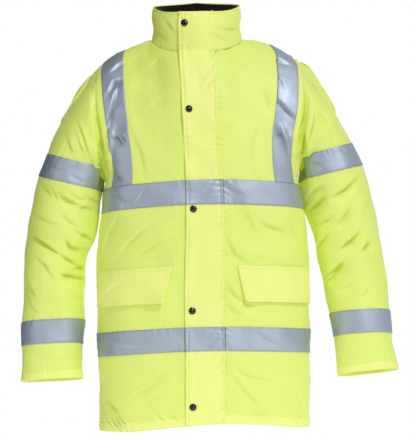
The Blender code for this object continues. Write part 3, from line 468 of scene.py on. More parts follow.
def sleeve_ring(angle, place, side):
    """A ring of the sleeve below its head; place counts the rows of the table."""
    rows = [(i, *row) for i, row in enumerate(SLEEVE_SECTIONS[side])]
    section = np.moveaxis(curve(rows, place), -1, 0)
    _, x, y, z, half_width, half_depth, tilt, lean, dip, tuck = section
    c, s = cos_sin(angle)
    drop = dip * np.clip(-c, 0, 1) ** DIP_POWER
    x = x - tuck * np.clip(cos_sin(angle - TUCK_ANGLE)[0], 0, 1) ** TUCK_POWER
    out = rounded_box(c, s, SLEEVE_SQUARENESS)
    c, s = c * out, s * out
    (level, up), (upright, back) = cos_sin(tilt), cos_sin(lean)
    return stacked(
        sign_of(side) * (x + half_width * c * level),
        y - half_depth * s * upright,
        z + half_width * c * up + half_depth * s * back - drop,
    )


def sleeve_form(angle, along, side):
    """along runs from -1 at the armhole to 0 at the first ring and on down the table's rows."""
    angle, along = arrays(angle, along)
    start, _, outward = armhole(angle, side)
    head = curve(SLEEVE_HEAD[side], angle % 360)
    end = sleeve_ring(angle, 0 * along, side)
    down_sleeve = unit(sleeve_ring(angle, np.full_like(along, 0.1), side) - end)
    leave = outward * head[..., 1:2] + stacked(0 * along, -head[..., 2], -head[..., 3])
    reach = np.maximum(np.linalg.norm(end - start, axis=-1, keepdims=True), SHORTEST_HEAD)
    start = start + outward * SLEEVE_GAP
    cap = hermite(start, leave, end, down_sleeve * reach, np.clip(along + 1, 0, 1))
    return np.where((along < 0)[..., None], cap, sleeve_ring(angle, np.maximum(along, 0), side))


def sleeve_surface(angle, along, side):
    """Points and normals of a sleeve, with its folds; the body's normals at the armhole."""
    angle, along = arrays(angle, along)
    step = 0.02
    around = sleeve_form(angle + 1, along, side) - sleeve_form(angle - 1, along, side)
    above = sleeve_form(angle, np.maximum(along - step, -1), side)
    down = sleeve_form(angle, np.minimum(along + step, LAST_RING), side) - above
    normals = unit(np.cross(around, down)) * sign_of(side)
    _, at_armhole, _ = armhole(angle, side)
    seam = (1 - smooth_step((along + 1) / 0.1))[..., None]
    normals = unit(normals * (1 - seam) + at_armhole * seam)
    points = sleeve_form(angle, along, side)
    free = smooth_step((along + 1) / 0.3)[..., None]
    pressed = folded(points, normals, SLEEVE_FRONT_FOLDS[side], SLEEVE_BACK_FOLDS[side])
    return points * (1 - free) + pressed * free, normals


# ---- collar form ----

def collar_form(angle, up):
    """angle runs from 0 in front to +-180 behind, up from the neck seam, 0, to the top edge, 1."""
    angle, up = arrays(half_turned(angle), up)
    (c, _), (_, s) = cos_sin(angle), cos_sin(np.abs(angle))
    _, half_width, front, back = np.moveaxis(curve(COLLAR_SECTIONS, up), -1, 0)
    base = neck_ring(np.abs(angle))
    top = curve(COLLAR_EDGE, np.abs(angle))[..., 1]
    z = base[..., 2] * (1 - up) + top * up
    swing = curve(CLOSURE_SWING, z)[..., 1] * np.clip(c, 0, 1) * SWING_IN_FRONT
    y = NECK_MIDDLE_Y - np.where(c > 0, front, back) * c
    return stacked(np.sign(angle) * half_width * s + swing, y, z)


def collar_surface(angle, up):
    """Points and normals of the collar; the body's normals at the neck seam."""
    angle, up = arrays(half_turned(angle), up)
    around = collar_form(angle + 0.5, up) - collar_form(angle - 0.5, up)
    higher, lower = np.minimum(up + 0.02, 1), np.maximum(up - 0.02, 0)
    rise = collar_form(angle, higher) - collar_form(angle, lower)
    normals = unit(np.cross(around, rise))
    turns = np.linspace(0, NECK_TURN, 200)
    turn = np.interp(90 - np.abs(90 - np.abs(angle)), neck_angle(turns), turns)
    turn = np.where(np.abs(angle) > 90, 180 - turn, turn) * np.where(angle < 0, -1, 1)
    at_seam = panel_normals(turn, np.full_like(turn, YOKE_RISE))
    seam = (1 - smooth_step(up / 0.2))[..., None]
    return collar_form(angle, up), unit(normals * (1 - seam) + at_seam * seam)


# ---- finer form: creases, seams that sink, seams that pucker ----
# Creases: x and z of their start, middle and end, depth (a ridge is below 0) and reach.
CREASES_FRONT = (
    (-97, -382, -137, -418, -176, -454, 5.5, 14), (-68, -418, -109, -443, -166, -477, 5, 13),
    (-175, -372, -198, -411, -210, -449, 4.2, 11), (-150, -500, -185, -520, -218, -552, 3, 12),
    (121, -389, 153, -405, 184, -415, 5.5, 13), (192, -390, 203, -420, 218, -445, 4, 11),
    (54, -422, 72, -460, 99, -477, 4.2, 10), (50, -521, 70, -546, 112, -569, 4.8, 11),
    (51, -558, 65, -576, 92, -592, 3.2, 9), (92, -368, 105, -388, 115, -423, 3, 13),
    (150, -470, 190, -490, 222, -528, 2.8, 11), (-150, -47, -168, -54, -186, -72, 4.2, 7),
    (-160, -86, -178, -92, -190, -112, 6.2, 7), (-171, -104, -181, -142, -196, -194, 7.5, 8),
    (-170, -200, -158, -212, -152, -219, 5.5, 6), (-194, -212, -174, -206, -158, -226, 5, 7),
    (-186, -262, -176, -284, -164, -296, 3.8, 8), (-178, -196, -186, -236, -188, -286, 5.2, 9),
    (-140, -196, -120, -246, -112, -292, 2.8, 16), (-70, -120, -100, -150, -140, -166, 2.2, 16),
    (-186, -320, -168, -336, -150, -346, 3, 8), (-118, -318, -128, -336, -140, -350, 3, 7),
    (-196, -640, -170, -650, -138, -650, 2.5, 9), (150, -36, 172, -50, 196, -62, 5, 7),
    (166, -84, 176, -98, 184, -116, 2.8, 6), (163, -136, 180, -152, 202, -176, 6.8, 8),
    (168, -186, 178, -218, 194, -262, 7.8, 8), (166, -196, 172, -210, 178, -216, 3.8, 6),
    (193, -214, 196, -246, 204, -292, 5, 8), (128, -176, 112, -226, 108, -280, 2.5, 16),
    (140, -110, 150, -150, 158, -170, 2.2, 11), (44, -306, 66, -322, 96, -338, 2.8, 9),
    (110, -618, 132, -636, 158, -652, 2.8, 9), (-211, -749, -196, -770, -179, -791, 5, 10),
    (-70, -690, -108, -730, -160, -756, 4.2, 17), (-84, -744, -124, -766, -170, -772, 3.5, 13),
    (58, -690, 96, -716, 150, -722, 4, 15), (62, -716, 88, -748, 126, -786, 3.8, 13),
    (196, -742, 204, -772, 214, -806, 3, 10), (-64, -452, -104, -462, -150, -474, 3, 9),
    (72, -456, 110, -462, 150, -474, 2.8, 9), (-78, -32, -96, -56, -120, -70, 3.2, 10),
    (76, -36, 98, -58, 126, -72, 3, 10),
)
CREASES_BACK = (
    (112, -172, 150, -214, 188, -268, 3.6, 10), (138, -236, 168, -266, 196, -300, 2.6, 8),
    (-104, -180, -146, -222, -184, -280, 3.8, 10), (-132, -246, -162, -272, -192, -306, 2.4, 8),
    (70, -430, 128, -446, 200, -482, 3, 10), (96, -470, 150, -492, 206, -530, 1.8, 10),
    (-58, -424, -122, -450, -196, -488, 3.2, 10), (-104, -468, -156, -486, -204, -520, 1.8, 10),
    (-70, -404, 0, -414, 66, -402, 1.8, 14), (96, -700, 104, -750, 98, -808, 1.5, 18),
    (-112, -690, -120, -744, -112, -806, 1.4, 18), (70, -24, 92, -52, 118, -78, 1.8, 10),
    (-68, -26, -94, -54, -124, -76, 1.8, 10),
)
CREASES_SLEEVE_FRONT = {
    "right": (
        (-206, -62, -218, -80, -232, -102, 4.2, 10), (-254, -178, -244, -202, -232, -246, 5.8, 12),
        (-280, -205, -274, -224, -266, -241, 4.2, 9), (-260, -195, -252, -221, -244, -242, 3.8, 10),
        (-218, -179, -215, -204, -210, -234, 5, 9), (-212, -216, -215, -262, -218, -318, 16, 11),
        (-312, -268, -298, -276, -284, -272, 2.5, 8), (-262, -290, -248, -298, -232, -296, 3, 8),
        (-335, -308, -324, -317, -314, -332, 4, 8), (-316, -315, -306, -326, -301, -340, 4.2, 8),
        (-302, -321, -280, -337, -255, -350, 7, 12), (-276, -323, -259, -334, -238, -339, 4.5, 8),
        (-258, -356, -240, -352, -224, -362, 6.8, 8), (-243, -328, -232, -336, -214, -345, 5.5, 8),
        (-353, -365, -326, -380, -298, -390, 4.8, 14),
        (-290, -372, -273, -386, -252, -399, 4.8, 12), (-267, -400, -250, -411, -230, -415, 6.2, 9),
        (-284, -423, -273, -438, -253, -442, 8.8, 10),
        (-363, -408, -334, -428, -298, -452, 8.5, 13), (-300, -452, -274, -467, -248, -487, 8, 12),
        (-246, -407, -236, -420, -227, -430, 4.8, 7), (-298, -494, -274, -498, -242, -508, 8.8, 9),
        (-281, -488, -264, -484, -247, -477, 5, 8), (-352, -459, -332, -473, -311, -508, 5, 14),
        (-374, -499, -366, -522, -353, -542, 3.8, 12), (-271, -528, -263, -542, -252, -552, 4, 9),
        (-372, -542, -362, -561, -346, -578, 3.2, 11),
        (-352, -668, -320, -676, -284, -672, 2.2, 10),
    ),
    "left": (
        (222, -74, 240, -96, 262, -118, 3.8, 10), (227, -234, 240, -197, 247, -162, -6, 9),
        (261, -166, 274, -186, 280, -207, 4.2, 11), (281, -196, 288, -214, 290, -229, 4, 9),
        (221, -212, 224, -236, 225, -256, 3.8, 7), (222, -200, 225, -248, 228, -304, 16, 10),
        (240, -268, 252, -272, 262, -282, 2.8, 8), (296, -238, 308, -250, 318, -254, 2.2, 8),
        (253, -317, 241, -329, 225, -348, 7.5, 9), (262, -339, 247, -353, 227, -373, 9.4, 10),
        (346, -293, 307, -326, 266, -348, 7.5, 14), (284, -378, 266, -392, 242, -400, 7, 10),
        (316, -363, 300, -386, 280, -408, 6, 12), (266, -421, 254, -436, 244, -452, 7.5, 8),
        (337, -415, 315, -435, 279, -463, 8, 13), (361, -436, 348, -449, 338, -460, 6.8, 9),
        (300, -478, 281, -495, 258, -513, 9.5, 11), (280, -503, 270, -516, 261, -527, 5, 8),
        (312, -522, 300, -533, 283, -542, 4.5, 11), (354, -538, 343, -548, 325, -556, 3.8, 12),
        (363, -344, 352, -360, 346, -382, 4, 12), (366, -664, 344, -672, 314, -668, 2.2, 10),
    ),
}
CREASES_SLEEVE_BACK = {
    "right": (
        (-262, -150, -244, -196, -230, -240, 3.2, 10), (-324, -338, -286, -356, -244, -372, 2.8, 9),
        (-366, -428, -318, -446, -262, -474, 4.6, 10), (-376, -466, -350, -478, -316, -484, 2.8, 8),
        (-366, -508, -330, -524, -280, -536, 2.4, 10),
        (-352, -664, -322, -674, -290, -668, 1.2, 10),
    ),
    "left": (
        (266, -146, 250, -192, 236, -236, 3, 10), (332, -332, 294, -352, 250, -370, 2.8, 9),
        (376, -424, 330, -446, 270, -472, 4.4, 10), (386, -462, 360, -474, 328, -482, 2.6, 8),
        (378, -504, 342, -520, 292, -534, 2.4, 10), (372, -660, 344, -668, 316, -662, 1.2, 10),
    ),
}
CREASES_COLLAR = (
    (-65, 38, -57, 26, -48, 14, 4.2, 7), (48, 17, 70, 17, 91, 20, 4, 6),
    (35, 6, 50, -1, 65, -8, 3.6, 6), (-86, 16, -74, 6, -60, -8, 2.6, 7),
)
CREASES_COLLAR_BACK = (
    (40, 46, 58, 40, 80, 44, 1.6, 9), (-74, 60, -56, 52, -36, 56, 1.4, 9),
    (-40, 28, 0, 24, 44, 30, 1, 8),
)
OVERHANG = 0.5  # how far the cloth above a crease swells out, as a share of the crease's depth
RUN_OUT = 1.6  # reaches over which a crease runs out below its line
RUN_UP = 1.9  # and above it
SWELL = 1.3
CREASE_DROP = 5.0  # distance across a crease's steep side

ROLL = (1.5, 3.4)  # how deep a seam sinks between two panels, and its reach
STITCH_SINK = (1.0, 1.7)
HALF_SINK = 0.5  # share of the sinking at seams that lie flat
# How deep the armhole seam lies between body and sleeve. Columns: rise, in front, behind.
ARMHOLE_SINK = ((0, 2, 2), (30, 9, 4), (75, 15, 6), (125, 10, 5), (180, 2.6, 2), (285, 1.2, 1.2))
ARMHOLE_REACH = {"body": 7.5, "sleeve": 9.0}
# Puckers along a seam: height, distance that they reach, spacing along it, and slant.
PUCKERS = {
    "hem": (1.8, 15, 14, 0.9),
    "hem_right": (2.4, 26, 17, 1.3),
    "cuff": (1.2, 12, 11, 0.4),
    "closure": (1.5, 13, 11, 0.5),
    "flap": (0.7, 30, 27, 1.4),
    "side": (1.2, 13, 19, 0.7),
    "armhole": (1.6, 16, 21, 0.5),
    "tape": (0.6, 9, 15, 0.3),
    "neck": (1.2, 12, 17, 0.4),
    "pocket": (0.9, 8, 14, 0.3),
}
HEM_BAND = 20.0
CUFF_BAND = 18.0
BAND_STEP = 0.5  # how much further out cloth lies where it is turned up double
TOPSTITCH = 6.0  # from a folded edge to its row of stitches
HEM_RISE = HEM_Z - ARMPIT_Z
LINE_OFFSETS = (-2.4, -1.2, 0.0, 1.2, 2.4)
SLEEVE_RADIUS = 72.0
COLLAR_RADIUS = 90.0
RING_STEP = 44.0  # length of sleeve from one ring of its table to the next
MM_PER_TURN = {"armhole": 3.0, "brace": 3.3, "sleeve_seam": 1.25}  # to a degree, beside each


def crease_depth(points, normals, front, back):
    """Cloth swells out above a crease, drops in sharply at its line and runs out softly below."""
    depth = np.zeros(points.shape[:-1])
    for creases, facing in ((front, -1), (back, 1)):
        faces_it = smooth_step(normals[..., 1] * facing * 2.5 + 0.3)
        for x0, z0, x1, z1, x2, z2, deep, reach in creases:
            nearest = np.full(depth.shape, np.inf)
            above, share = np.zeros((2, *depth.shape))
            for first, start, end in ((0.0, (x0, z0), (x1, z1)), (0.5, (x1, z1), (x2, z2))):
                along = np.subtract(end, start).astype(float)
                offset = points[..., (0, 2)] - start
                s = np.clip(offset @ along / (along @ along), 0, 1)
                side = offset @ np.array((-along[1], along[0])) * (1 if along[0] > 0 else -1)
                distance = np.linalg.norm(offset - s[..., None] * along, axis=-1) / reach
                above = np.where(distance < nearest, side / np.linalg.norm(along) / reach, above)
                share = np.where(distance < nearest, first + s / 2, share)
                nearest = np.minimum(nearest, distance)
            over = smooth_step(above * reach / CREASE_DROP + 0.5)
            profile = np.exp(-nearest / RUN_OUT) * (1 - over)
            profile -= OVERHANG * np.exp(-nearest / RUN_UP) * over
            fades = np.sin(np.pi * (0.04 + 0.92 * share)) ** 0.8  # toward both ends
            depth += deep * profile * fades * faces_it
    return depth


def uneven(along, seed):
    """A wave whose crests differ in height and spacing."""
    turn = 2 * np.pi * along
    bent = turn + 1.1 * np.sin(turn * 0.231 + seed) + 0.7 * np.sin(turn * 0.097 + 2.3 * seed)
    return np.sin(bent) * (0.6 + 0.4 * np.sin(turn * 0.143 + 1.7 * seed))


def swell(points, seed):
    """Slow rise and fall of the padding between its folds."""
    x, y, z = np.moveaxis(points, -1, 0)
    x = x + 0.8 * y
    across = np.sin(x / 22 + 1.3 * np.sin(z / 45 + seed))
    up = np.sin(z / 30 + 1.1 * np.sin(x / 38 + 2 * seed))
    slanted = np.sin((x + z) / 16 + 1.7 * np.sin((x - z) / 52 + seed))
    return SWELL * (across * up + 0.6 * slanted)


def puckers(kind, along, away, seed):
    """Small gathers beside a seam: along and away are places by it, and seed shifts the crests."""
    height, reach, spacing, slant = PUCKERS[kind]
    return height * np.exp(-((away / reach) ** 2)) * uneven((along + slant * away) / spacing, seed)


def sunk(away, shape=ROLL):
    depth, reach = shape
    return depth * np.exp(-((away / reach) ** 2))


def band(to_edge, width):
    """Cloth turned up double along an edge: it sinks at the stitches and lies further out below."""
    return sunk(to_edge - width, STITCH_SINK) - BAND_STEP * smooth_step((width - to_edge) / 3)


def topstitched(from_edge, along, seed):
    """How cloth sinks and puckers at the row of stitches along a folded edge."""
    away = from_edge - TOPSTITCH
    return sunk(away, STITCH_SINK) + puckers("pocket", along, away, seed)


def armhole_sunk(turn, rise, away, part):
    """How far cloth beside the armhole sinks into the seam; turn and rise are those of the seam."""
    depth = curve(ARMHOLE_SINK, rise)
    depth = np.where(np.abs(turn) < 90, depth[..., 1], depth[..., 2])
    return depth * np.exp(-((away / ARMHOLE_REACH[part]) ** 2))


# Distance round the body from the middle of the front, by turn, along the ring over the pockets.
ROUND_TURNS = np.linspace(0, 180, 361)
ROUND_MM = lengths_along(body_ring(ROUND_TURNS, np.full(361, -520.0)))


def round_body(turn):
    return np.sign(turn) * np.interp(np.abs(turn), ROUND_TURNS, ROUND_MM)


def turn_at(distance):
    return np.sign(distance) * np.interp(np.abs(distance), ROUND_MM, ROUND_TURNS)


TAPE_EDGES = tape_edges("chest_tape", "low_tape")


def body_press(turn, rise, points, normals, roll=1.0):
    """How far the finished cloth lies inside the body form."""
    press = crease_depth(points, normals, CREASES_FRONT, CREASES_BACK) + swell(points, 0.3)
    along = round_body(turn)
    to_hem = rise - HEM_RISE
    clear_of_flap = 0.25 + 0.75 * smooth_step((np.abs(along) - round_body(FLAP_TURN)) / 14)
    press += band(to_hem, HEM_BAND)
    press += puckers("hem", along, to_hem - HEM_BAND, 0.4) * clear_of_flap
    on_right = smooth_step((-turn - 8) / 20) * smooth_step((70 + turn) / 20)
    press += puckers("hem_right", along, to_hem - HEM_BAND * 0.7, 2.9) * on_right * 0.8
    to_side = np.abs(round_body(np.abs(turn)) - round_body(90.0))
    side_seam = np.where(rise > 0, 0.0, 1.0)
    press += roll * sunk(to_side) * side_seam
    press += puckers("side", rise, to_side, 1.1 + np.sign(turn)) * side_seam
    to_armhole = (CORNER_TURN - from_middle(turn)) * MM_PER_TURN["armhole"]
    on_edge = smooth_step(rise / 24)
    press += armhole_sunk(turn, rise, to_armhole, "body") * on_edge
    press += puckers("armhole", rise, to_armhole, 0.7) * on_edge * 0.6
    to_top = YOKE_RISE - rise
    press += HALF_SINK * roll * sunk(to_top)
    press += puckers("neck", along * 0.6, to_top, 3.3) * smooth_step((60 - to_top) / 40)
    to_closure = np.maximum(along - round_body(FLAP_TURN), 0)
    in_front = np.abs(turn) < 90
    press += puckers("closure", rise, to_closure, 1.9) * in_front * smooth_step(along / 30)
    for edge in TAPE_EDGES:
        press += puckers("tape", along, rise - edge, edge)
        press += HALF_SINK * sunk(rise - edge, STITCH_SINK)
    return press


def evened(turn, rise):
    """How far the cloth leaves the body form below the neck point, where neck and shoulder meet."""
    beside = np.abs(from_middle(turn) - NECK_TURN)
    share = smooth_step(1.25 - beside / 12) * smooth_step((YOKE_RISE - rise) / 70)
    ways = (-8, -5, -2, 2, 5, 8)
    even = sum(body_form(turn + way, rise) for way in ways) / len(ways)
    return (even - body_form(turn, rise)) * share[..., None]


def body_cloth(turn, rise, share=1.0, roll=1.0):
    """Points and normals of the finished cloth; share is how much of its creasing it takes."""
    turn, rise = arrays(turn, rise)
    points, normals = body_surface(turn, rise)
    points = points + evened(turn, rise)
    press = body_press(turn, rise, points, normals, roll)
    return points - normals * (press * share)[..., None], normals


def sleeve_cloth(angle, along, side):
    """Points and normals of a finished sleeve."""
    angle, along = arrays(angle, along)
    points, normals = sleeve_surface(angle, along, side)
    press = crease_depth(points, normals, CREASES_SLEEVE_FRONT[side], CREASES_SLEEVE_BACK[side])
    press += swell(points, 1.9)
    start, _, _ = armhole(angle, side)
    seam_turn, seam_rise = armhole_place(angle)
    to_armhole = np.linalg.norm(points - start, axis=-1)
    round_it = np.radians(np.abs(half_turned(angle))) * SLEEVE_RADIUS
    seed = 0.8 if side == "left" else 2.2
    press = press * smooth_step(to_armhole / 14)
    near_edge = smooth_step(seam_rise / 24)
    press += armhole_sunk(seam_turn, seam_rise, to_armhole, "sleeve") * near_edge
    press += sunk(to_armhole) * (1 - near_edge)
    press += puckers("armhole", round_it * 0.8, to_armhole, seed)
    cuff = sleeve_ring(angle, np.full_like(along, LAST_RING), side)
    to_cuff = np.linalg.norm(points - cuff, axis=-1)
    press += band(to_cuff, CUFF_BAND)
    press += puckers("cuff", round_it, to_cuff - CUFF_BAND, seed + 1)
    to_seam = np.abs((angle % 360) - 180) * MM_PER_TURN["sleeve_seam"]
    press += sunk(to_seam, STITCH_SINK) * smooth_step(to_armhole / 20)
    for edge in SLEEVE_TAPE_EDGES:
        away = (along - edge) * RING_STEP
        press += puckers("tape", round_it, away, edge + seed)
        press += HALF_SINK * sunk(away, STITCH_SINK)
    return points - normals * press[..., None], normals


def collar_cloth(angle, up):
    """Points and normals of the finished collar."""
    angle, up = arrays(angle, up)
    points, normals = collar_surface(angle, up)
    press = crease_depth(points, normals, CREASES_COLLAR, CREASES_COLLAR_BACK)
    from_seam = up * COLLAR_HEIGHT
    round_it = np.radians(angle) * COLLAR_RADIUS
    press += HALF_SINK * sunk(from_seam) + puckers("neck", round_it, from_seam, 0.9)
    press += topstitched((1 - up) * COLLAR_HEIGHT, round_it, 2.1)
    press *= smooth_step(up / 0.03) * 0.6 + 0.4
    return points - normals * press[..., None], normals


COLLAR_HEIGHT = 88.0
FLAP_TOP = YOKE_RISE + COLLAR_HEIGHT
FLAP_BEND = 9.0  # half the length over which the flap bends from the front into the collar
FLAP_EDGE_LIFT = 2.8  # how far its free edge stands off the front, and how far in that reaches
FLAP_LIFT_REACH = 15.0


def flap_middle_line(turn, along):
    """The body below the neck seam and the collar above it; along is in millimetres."""
    points, normals = body_cloth(turn, np.minimum(along, YOKE_RISE), share=0.6, roll=0.0)
    angle = np.sign(turn) * neck_angle(np.abs(turn))
    up_collar = np.clip((along - YOKE_RISE) / COLLAR_HEIGHT, 0, 1)
    on_collar, collar_normals = collar_cloth(angle, up_collar)
    above = (along > YOKE_RISE)[..., None]
    return np.where(above, on_collar, points), unit(np.where(above, collar_normals, normals))


def flap_cloth(turn, along):
    """The storm flap, softly bent over the neck seam, its free edge a little off the front."""
    turn, along = arrays(turn, along)
    ways = (-FLAP_BEND, 0, FLAP_BEND)
    places = [flap_middle_line(turn, np.clip(along + way, HEM_RISE, FLAP_TOP)) for way in ways]
    near_neck = smooth_step(1 - np.abs(along - YOKE_RISE) / 26)[..., None]
    points = places[1][0] * (1 - near_neck) + near_neck * sum(place[0] for place in places) / 3
    normals = unit(sum(place[1] for place in places))
    to_free = round_body(turn) - round_body(-FLAP_TURN)
    to_sewn = round_body(FLAP_TURN) - round_body(turn)
    edge_lift = FLAP_EDGE_LIFT * np.exp(-((to_free / FLAP_LIFT_REACH) ** 2))
    lift = 2 * SEAM_GAP + FLAP_WALL + edge_lift * (1 + uneven(along / 118, 0.6))
    lift = lift - topstitched(to_free, along, 1.3) - sunk(to_sewn - TOPSTITCH, STITCH_SINK)
    lift = lift - 0.6 * puckers("closure", along, to_sewn - TOPSTITCH, 1.9)
    lift = lift - puckers("flap", along, to_sewn, 4.1)
    return points + normals * lift[..., None], normals


# ---- making cloth ----
CELL = 3.5  # longest side of a cell of the cloth
BACK_CELL = 4.6
# hollows: depth in the folds, where the materials paint shade
HOLLOW_REACH = 14  # how often the cloth is evened out to find its hollows
HOLLOW_DEPTHS = (0.2, 5.5)
NEAR_SEAM = (0.0, 1.6, 3.6, 6.5)  # rows beside a seam, by distance
TAPE_LIFT = 0.6  # from a panel's face to the back of a tape
HALF_GAP = SEAM_GAP / 2
SIDE_TRIM = 0.07  # half a seam gap, as a turn at the side seam
CLOSURE_TRIM = 0.04
TAPE_TRIM = 0.12
COLLAR_TRIM = 0.12
NEARLY = 0.01  # rows and columns this near a line count as on it
SAME_ROW = 1e-6
SAME_POINT = 1e-3  # vertices as near as this are merged

# What each piece was cut to before it was sewn: width, length and area, in metres and square
# metres, and then what it lies on, if anything. SIDE stands for right or left.
CUTS = {
    "front_SIDE_cloth": (0.33, 0.89, 0.231),
    "back_cloth": (0.62, 0.89, 0.454),
    "sleeve_SIDE_cloth": (0.7, 0.715, 0.272),
    "collar_cloth": (0.58, 0.088, 0.0434),
    "collar_fleece": (0.565, 0.073, 0.0354, "collar_cloth"),
    "storm_flap_cloth": (0.084, 0.947, 0.0707, "front_right_cloth"),
    "pocket_flap_SIDE_cloth": (0.187, 0.08, 0.0136, "front_SIDE_cloth"),
    "upper_sleeve_tape_SIDE_strip": (0.5, 0.05, 0.0236, "sleeve_SIDE_cloth"),
    "low_sleeve_tape_SIDE_strip": (0.405, 0.05, 0.02, "sleeve_SIDE_cloth"),
    "chest_tape_flap_strip": (0.08, 0.05, 0.004, "storm_flap_cloth"),
    "chest_tape_front_SIDE_strip": (0.265, 0.05, 0.0132, "front_SIDE_cloth"),
    "chest_tape_back_strip": (0.595, 0.05, 0.0297, "back_cloth"),
    "low_tape_flap_strip": (0.084, 0.05, 0.0042, "storm_flap_cloth"),
    "low_tape_front_SIDE_strip": (0.268, 0.05, 0.0134, "front_SIDE_cloth"),
    "low_tape_back_strip": (0.606, 0.05, 0.0303, "back_cloth"),
    "brace_SIDE_strip": (0.05, 0.68, 0.0318, "front_SIDE_cloth", "back_cloth"),
}


def spread(knots, lengths, cell=CELL):
    """Places at most a cell apart that keep every knot; lengths are the knots in millimetres."""
    places = []
    for i in range(len(knots) - 1):
        count = max(1, int(np.ceil(abs(lengths[i + 1] - lengths[i]) / cell)))
        places.append(np.linspace(knots[i], knots[i + 1], count + 1)[:-1])
    return np.append(np.concatenate(places), knots[-1])


def placed(name, data):
    made = bpy.data.objects.new(name, data)
    bpy.context.scene.collection.objects.link(made)
    return made


def new_object(name, maker, material):
    mesh = bpy.data.meshes.new(name)
    maker.to_mesh(mesh)
    maker.free()
    mesh.shade_smooth()
    mesh.materials.append(material)
    made = placed(name, mesh)
    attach(made, "root")
    return made


# Painted shade: the materials darken cloth and tape by this depth in a fold.
def hollows(points, normals):
    """How deep a point of a grid lies in a fold: 0 on open cloth, 1 in a deep one."""
    evener = points
    for _ in range(HOLLOW_REACH):
        for axis in (0, 1):
            ends = np.take(evener, [0], axis=axis), np.take(evener, [-1], axis=axis)
            wider = np.swapaxes(np.concatenate((ends[0], evener, ends[1]), axis=axis), 0, axis)
            evener = np.swapaxes((wider[:-2] + 2 * wider[1:-1] + wider[2:]) / 4, 0, axis)
    depth = ((evener - points) * normals).sum(axis=-1)
    return smooth_step((depth - HOLLOW_DEPTHS[0]) / (HOLLOW_DEPTHS[1] - HOLLOW_DEPTHS[0]))


def cloth(name, points, normals, material, wall, node, closed=False, cut=None, **marks):
    """A sheet whose outer face goes through a grid of points, in place of the node's solid. closed
    joins its last column to its first, cut says which cells are left out, and marks are values at
    its points that the material reads by name."""
    rows, columns = points.shape[:2]
    # painted shade, a darker colour deep in the folds
    marks["painted_fold_shade"] = hollows(points, normals)
    along = (lengths_along(points, 1) * MM, lengths_along(points, 0) * MM)
    maker = bmesh.new()
    layer = maker.loops.layers.uv.new("cut")
    marks = {maker.verts.layers.float.new(mark): values for mark, values in marks.items()}
    bmesh.ops.create_grid(maker, x_segments=columns - 1, y_segments=rows - 1, size=0.5)
    places = {}
    for vert in maker.verts:
        place = round((vert.co.y + 0.5) * (rows - 1)), round((vert.co.x + 0.5) * (columns - 1))
        places[vert] = place
        vert.co = points[place] * MM
        for mark, values in marks.items():
            vert[mark] = values[place]
    left_out = []
    facing = 0.0
    for face in maker.faces:
        for loop in face.loops:
            loop[layer].uv = (along[0][places[loop.vert]], along[1][places[loop.vert]])
        row, column = (min(places[vert][k] for vert in face.verts) for k in (0, 1))
        if cut is not None and cut(row, column):
            left_out.append(face)
        else:
            face.normal_update()
            facing += face.normal @ Vector(normals[row, column])
    if facing < 0:
        bmesh.ops.reverse_faces(maker, faces=maker.faces)
    bmesh.ops.delete(maker, geom=left_out, context="FACES")
    if closed:
        bmesh.ops.remove_doubles(maker, verts=maker.verts, dist=SAME_POINT * MM)
    made = new_object(name, maker, material)
    solidify = made.modifiers.new("wall", "SOLIDIFY")
    solidify.thickness = wall * MM
    solidify.offset = -1
    side = "left" if "left" in name else "right"
    width, length, area, *under = CUTS[name.replace(side, "SIDE")]
    under = [piece.replace("SIDE", side) for piece in under]
    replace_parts(made, node)
    return made


# ---- stitches ----
STITCH_PITCH = 4.2
STITCH_LENGTH = 3.2
STITCH_THICKNESS = 0.9
seams = {}  # stitches of each piece: place, way and normal of every one


def sew(name, points, normals):
    """Puts a row of stitches along a line that lies on cloth."""
    lengths = lengths_along(points)
    count = int(lengths[-1] / STITCH_PITCH)
    at = (np.arange(count) + 0.5) * lengths[-1] / max(count, 1)

    def on_line(values, at):
        return np.stack([np.interp(at, lengths, values[:, k]) for k in range(3)], axis=-1)

    ahead, behind = on_line(points, at + 1.2), on_line(points, at - 1.2)
    stitches = zip(on_line(points, at), unit(ahead - behind), unit(on_line(normals, at)))
    seams.setdefault(name, []).extend(stitches)


def make_stitches(name, material):
    """One small spindle of thread, repeated along every row of stitches."""
    maker = bmesh.new()
    bmesh.ops.create_uvsphere(maker, u_segments=5, v_segments=4, radius=1)
    maker.verts.ensure_lookup_table()
    half = np.array((STITCH_THICKNESS, STITCH_THICKNESS, STITCH_LENGTH)) / 2
    spindle = np.array([vert.co for vert in maker.verts]) * half
    faces = [[vert.index for vert in face.verts] for face in maker.faces]
    maker.free()
    places, ways, up = (np.array(values) for values in zip(*seams[name]))
    frames = np.stack((np.cross(up, ways), up, ways), axis=1)
    points = places[:, None] + spindle @ frames
    starts = np.arange(len(places)) * len(spindle)
    mesh = bpy.data.meshes.new(name)
    repeated = [[start + corner for corner in face] for start in starts.tolist() for face in faces]
    mesh.from_pydata((points.reshape(-1, 3) * MM).tolist(), [], repeated)
    mesh.shade_smooth()
    mesh.materials.append(material)
    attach(placed(name, mesh), "root")


# ---- panels ----

def near(line, away=LINE_OFFSETS):
    return [line + step for step in away]


def between(first, last, values):
    return sorted({first, last} | {value for value in values if first < value < last})


def body_rises(first, last, cell=CELL):
    """Rows of a panel between two rises, closer together beside each seam and row of stitches."""
    rows = {HEM_RISE, HEM_RISE + 3.0, 0.0, *(YOKE_RISE - HALF_GAP - step for step in NEAR_SEAM)}
    rows |= {row for line in (HEM_RISE + HEM_BAND, *TAPE_EDGES) for row in near(line)}
    rows = between(first, last, rows)
    return spread(rows, rows, cell)


def half_turns(first, last, cell=CELL):
    """Columns of a panel between two turns, from the middle of the front or of the back."""
    at_side = turn_at(ROUND_MM[180] - np.array(NEAR_SEAM))
    at_armhole = CORNER_TURN - np.array(NEAR_SEAM) / MM_PER_TURN["armhole"]
    turns = between(first, last, {FLAP_TURN, NECK_TURN, *BRACE_TURNS, *at_side[1:], *at_armhole})
    return spread(turns, round_body(np.array(turns)), cell)


